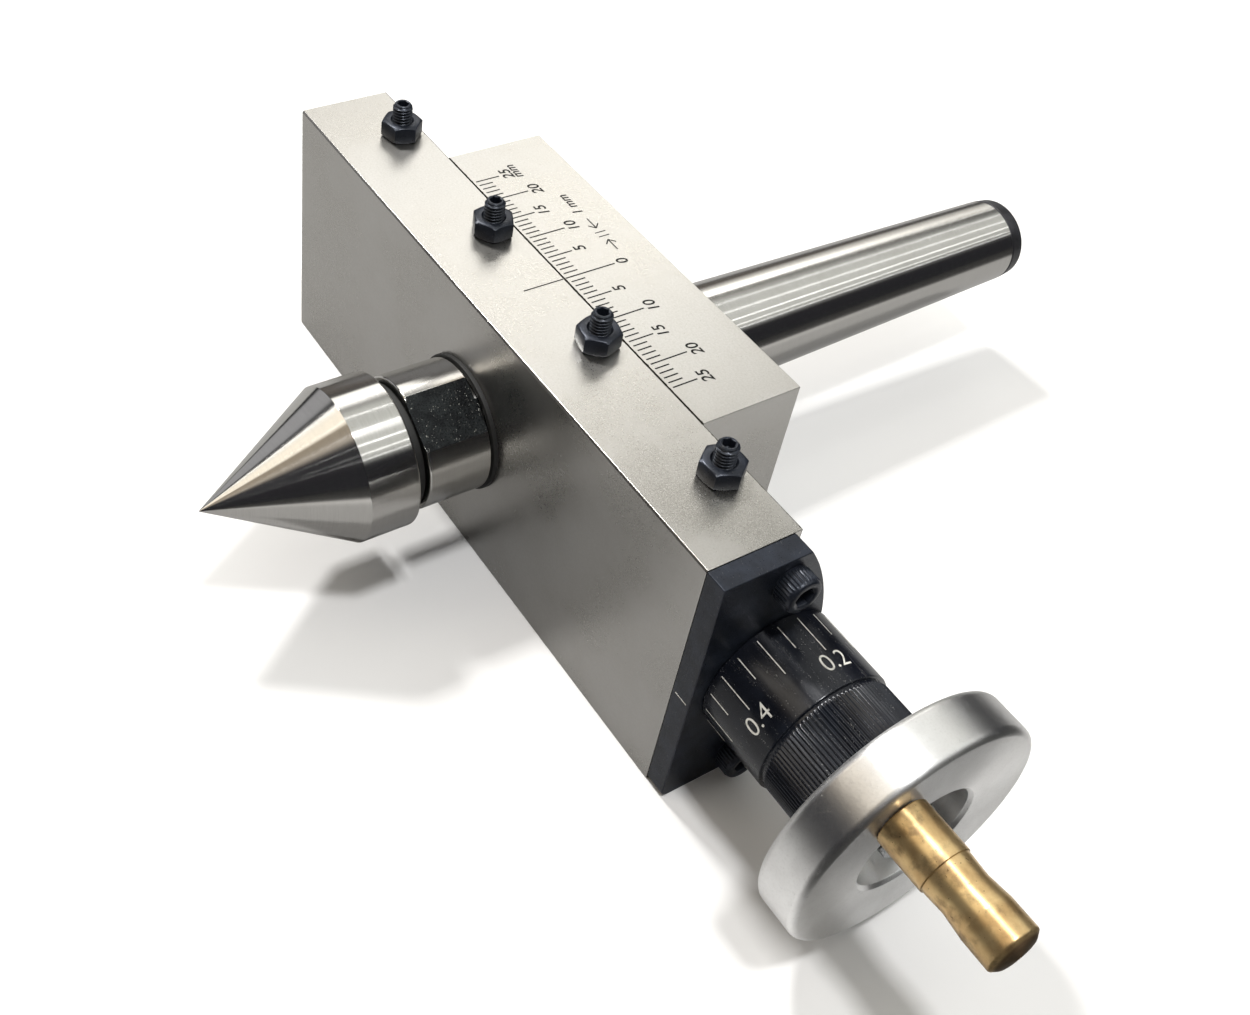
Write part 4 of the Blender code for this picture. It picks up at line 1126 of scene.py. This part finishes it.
BACKDROP = (0.86, 0.86, 0.86)
FLOOR_TONE = (0.86, 0.855, 0.85)
FLOOR_MIRRORED = 0.38
FLOOR_MIRRORED_RIGHT = 0.75
FLOOR_HALF_WIDTH = 4000
MIRROR_DARK_MIDDLE = (-200, 0, 0)
MIRROR_DARK_RADIUS = 300
MIRROR_DARK_FADE = 15


def make_floor():
    """Pale paper floor. The metal mirrors it dimmer than the camera sees it, brighter under the wheel, and
    dark beyond a set reach: painted reflection, seen by glossy rays only."""
    bm = bmesh.new()
    bmesh.ops.create_grid(bm, x_segments=2, y_segments=2, size=FLOOR_HALF_WIDTH)
    t = Tree("floor")
    # Painted reflection: glossy rays see the floor dimmed, brighter towards +X under the wheel, and dark beyond
    # the reach.
    reach = t.vector_maths("DISTANCE", t.here, MIRROR_DARK_MIDDLE)
    share = t.ramp(t.split(t.here)["X"], 50, 90, FLOOR_MIRRORED, FLOOR_MIRRORED_RIGHT)
    mirrored_near = t.ramp(reach, MIRROR_DARK_RADIUS - MIRROR_DARK_FADE, MIRROR_DARK_RADIUS + MIRROR_DARK_FADE, 1.0, 0.05)
    mirrored = t.mix(t.maths("MULTIPLY", share, mirrored_near), (0.0, 0.0, 0.0), FLOOR_TONE)
    path = t.add("ShaderNodeLightPath")
    colour = t.mix(path.outputs["Is Glossy Ray"], FLOOR_TONE, mirrored)
    floor = new_piece("floor", bm, t.finish(colour, 0.9, metallic=0.0, extra={"Specular IOR Level": 0.1}))
    floor.location.z = -0.02 * MM


# Soft patches of the room: direction, factor on the Y offset, reach where it is full and where it
# has faded, radiance
ROOM_BASE = (0.030, 0.030, 0.034)
ROOM_PATCHES = (
    ((0.18, 0.40, 0.90), 1.0, 0.50, 0.74, (0.80, 0.81, 0.76)),
    ((-0.66, 0.50, 0.56), 0.4, 0.13, 0.18, (2.00, 1.97, 1.87)),
    ((-0.60, 0.50, 0.62), 0.8, 0.12, 0.40, (0.25, 0.24, 0.21)),
    ((-0.62, 0.70, 0.36), 1.0, 0.13, 0.30, (0.75, 0.73, 0.68)),
    ((-0.91, 0.40, 0.10), 1.0, 0.20, 0.45, (0.15, 0.13, 0.11)),
    ((-0.40, -0.52, 0.75), 1.0, 0.235, 0.27, (1.30, 1.22, 1.06)),
    ((-0.15, -0.57, 0.80), 1.0, 0.28, 0.48, (0.46, 0.38, 0.28)),
    ((-0.86, -0.36, 0.26), 1.0, 0.29, 0.35, (0.46, 0.46, 0.47)),
)


def make_world():
    """A dark room of soft bright patches as the metal mirrors it, a pale backdrop as the camera
    sees it."""
    world = bpy.data.worlds.new("room")
    bpy.context.scene.world = world
    world.use_nodes = True
    n = Nodes(world.node_tree)
    spot = n.add("ShaderNodeTexCoord").outputs["Generated"]
    total = ROOM_BASE
    for direction, squeeze, full, faded, radiance in ROOM_PATCHES:
        apart = n.vector_maths("SUBTRACT", spot, Vector(direction).normalized())
        squeezed = n.vector_maths("MULTIPLY", apart, (1.0, squeeze, 1.0))
        share = n.ramp(n.vector_maths("LENGTH", squeezed), full, faded, 1.0, 0.0)
        total = n.vector_maths("MULTIPLY_ADD", share, radiance, total)
    seen = n.add("ShaderNodeLightPath").outputs["Is Camera Ray"]
    n.feed(n.tree.nodes["Background"].inputs["Color"], n.mix(seen, total, BACKDROP))


LIGHT_TARGET = (0, -5, 20)
LAMP_LEFT_COLOUR = (1.0, 0.99, 0.97)
TUBES = ((-0.91, 0.7), (-0.27, 0.6), (0.15, 0.6), (0.54, 0.8), (0.87, 0.5), (1.14, 0.4))


def lamp(name, direction, distance, width, length, power, colour=(1, 1, 1)):
    """Area light seen from the object in a direction, its length along Y as nearly as it can lie.
    Its distance and size are in metres."""
    data = bpy.data.lights.new(name, "AREA")
    data.shape = "RECTANGLE"
    data.size = width
    data.size_y = length
    data.energy = power
    data.color = colour
    light = bpy.data.objects.new(name, data)
    away = Vector(direction).normalized()
    along = Vector((0, 1, 0)) - away * away.y
    along.normalize()
    turn = Matrix((along.cross(away), along, away)).transposed()
    place = Vector(LIGHT_TARGET) * MM + away * distance
    light.matrix_world = Matrix.Translation(place) @ turn.to_4x4()
    bpy.context.scene.collection.objects.link(light)


def make_lamps():
    """Two soft lamps and a row of long thin tubes, which draw the lines along the turned steel."""
    lamp("lamp_right", (0.235, -0.062, 0.97), 1.2, 0.13, 0.13, 6.8)
    lamp("lamp_left", (-0.565, -0.04, 0.824), 1.2, 0.15, 0.15, 11.4, LAMP_LEFT_COLOUR)
    for i, (x, power) in enumerate(TUBES):
        lamp(f"tube_{i}", (x, 0.25, 1.0), 1.3, 0.014, 2.8, power)


CAMERA_AT = (127.135, -110.21, 166.919)
AZIMUTH, ELEVATION, ROLL = 51.254, 43.321, 9.070
SENSOR_WIDTH = 36.0
LENS = 42.338
SHIFT = (0.068, -0.062)
CLIP_START = 0.01


def make_camera():
    """Camera at the photograph's viewing angle. Azimuth turns from -Y towards +X."""
    azimuth, elevation, roll = (math.radians(a) for a in (AZIMUTH, ELEVATION, ROLL))
    back = Vector((math.sin(azimuth) * math.cos(elevation), -math.cos(azimuth) * math.cos(elevation),
                   math.sin(elevation)))
    level_right = Vector((math.cos(azimuth), math.sin(azimuth), 0))
    level_up = back.cross(level_right)
    right = level_right * math.cos(roll) + level_up * math.sin(roll)
    up = back.cross(right)
    data = bpy.data.cameras.new("camera")
    data.sensor_width = SENSOR_WIDTH
    data.lens = LENS
    data.shift_x, data.shift_y = SHIFT
    data.clip_start = CLIP_START
    camera = bpy.data.objects.new("camera", data)
    turn = Matrix((right, up, back)).transposed().to_4x4()
    camera.matrix_world = Matrix.Translation(Vector(CAMERA_AT) * MM) @ turn
    bpy.context.scene.collection.objects.link(camera)
    bpy.context.scene.camera = camera
    bpy.context.scene.view_settings.view_transform = "Standard"


make_fixed_block()
make_slide_block()
make_scale()
make_arbor()
make_center()
make_flange()
make_cap_screw("flange_cap_top", "flange_screw_top")
make_cap_screw("flange_cap_bottom", "flange_screw_bottom")
for number in GIB_SCREWS:
    make_gib_screw(number)
    make_gib_nut(number)
make_dial()
make_wheel()
make_lead_screw()
make_handle()
dress_kept_nodes()
make_floor()
make_world()
make_lamps()
make_camera()
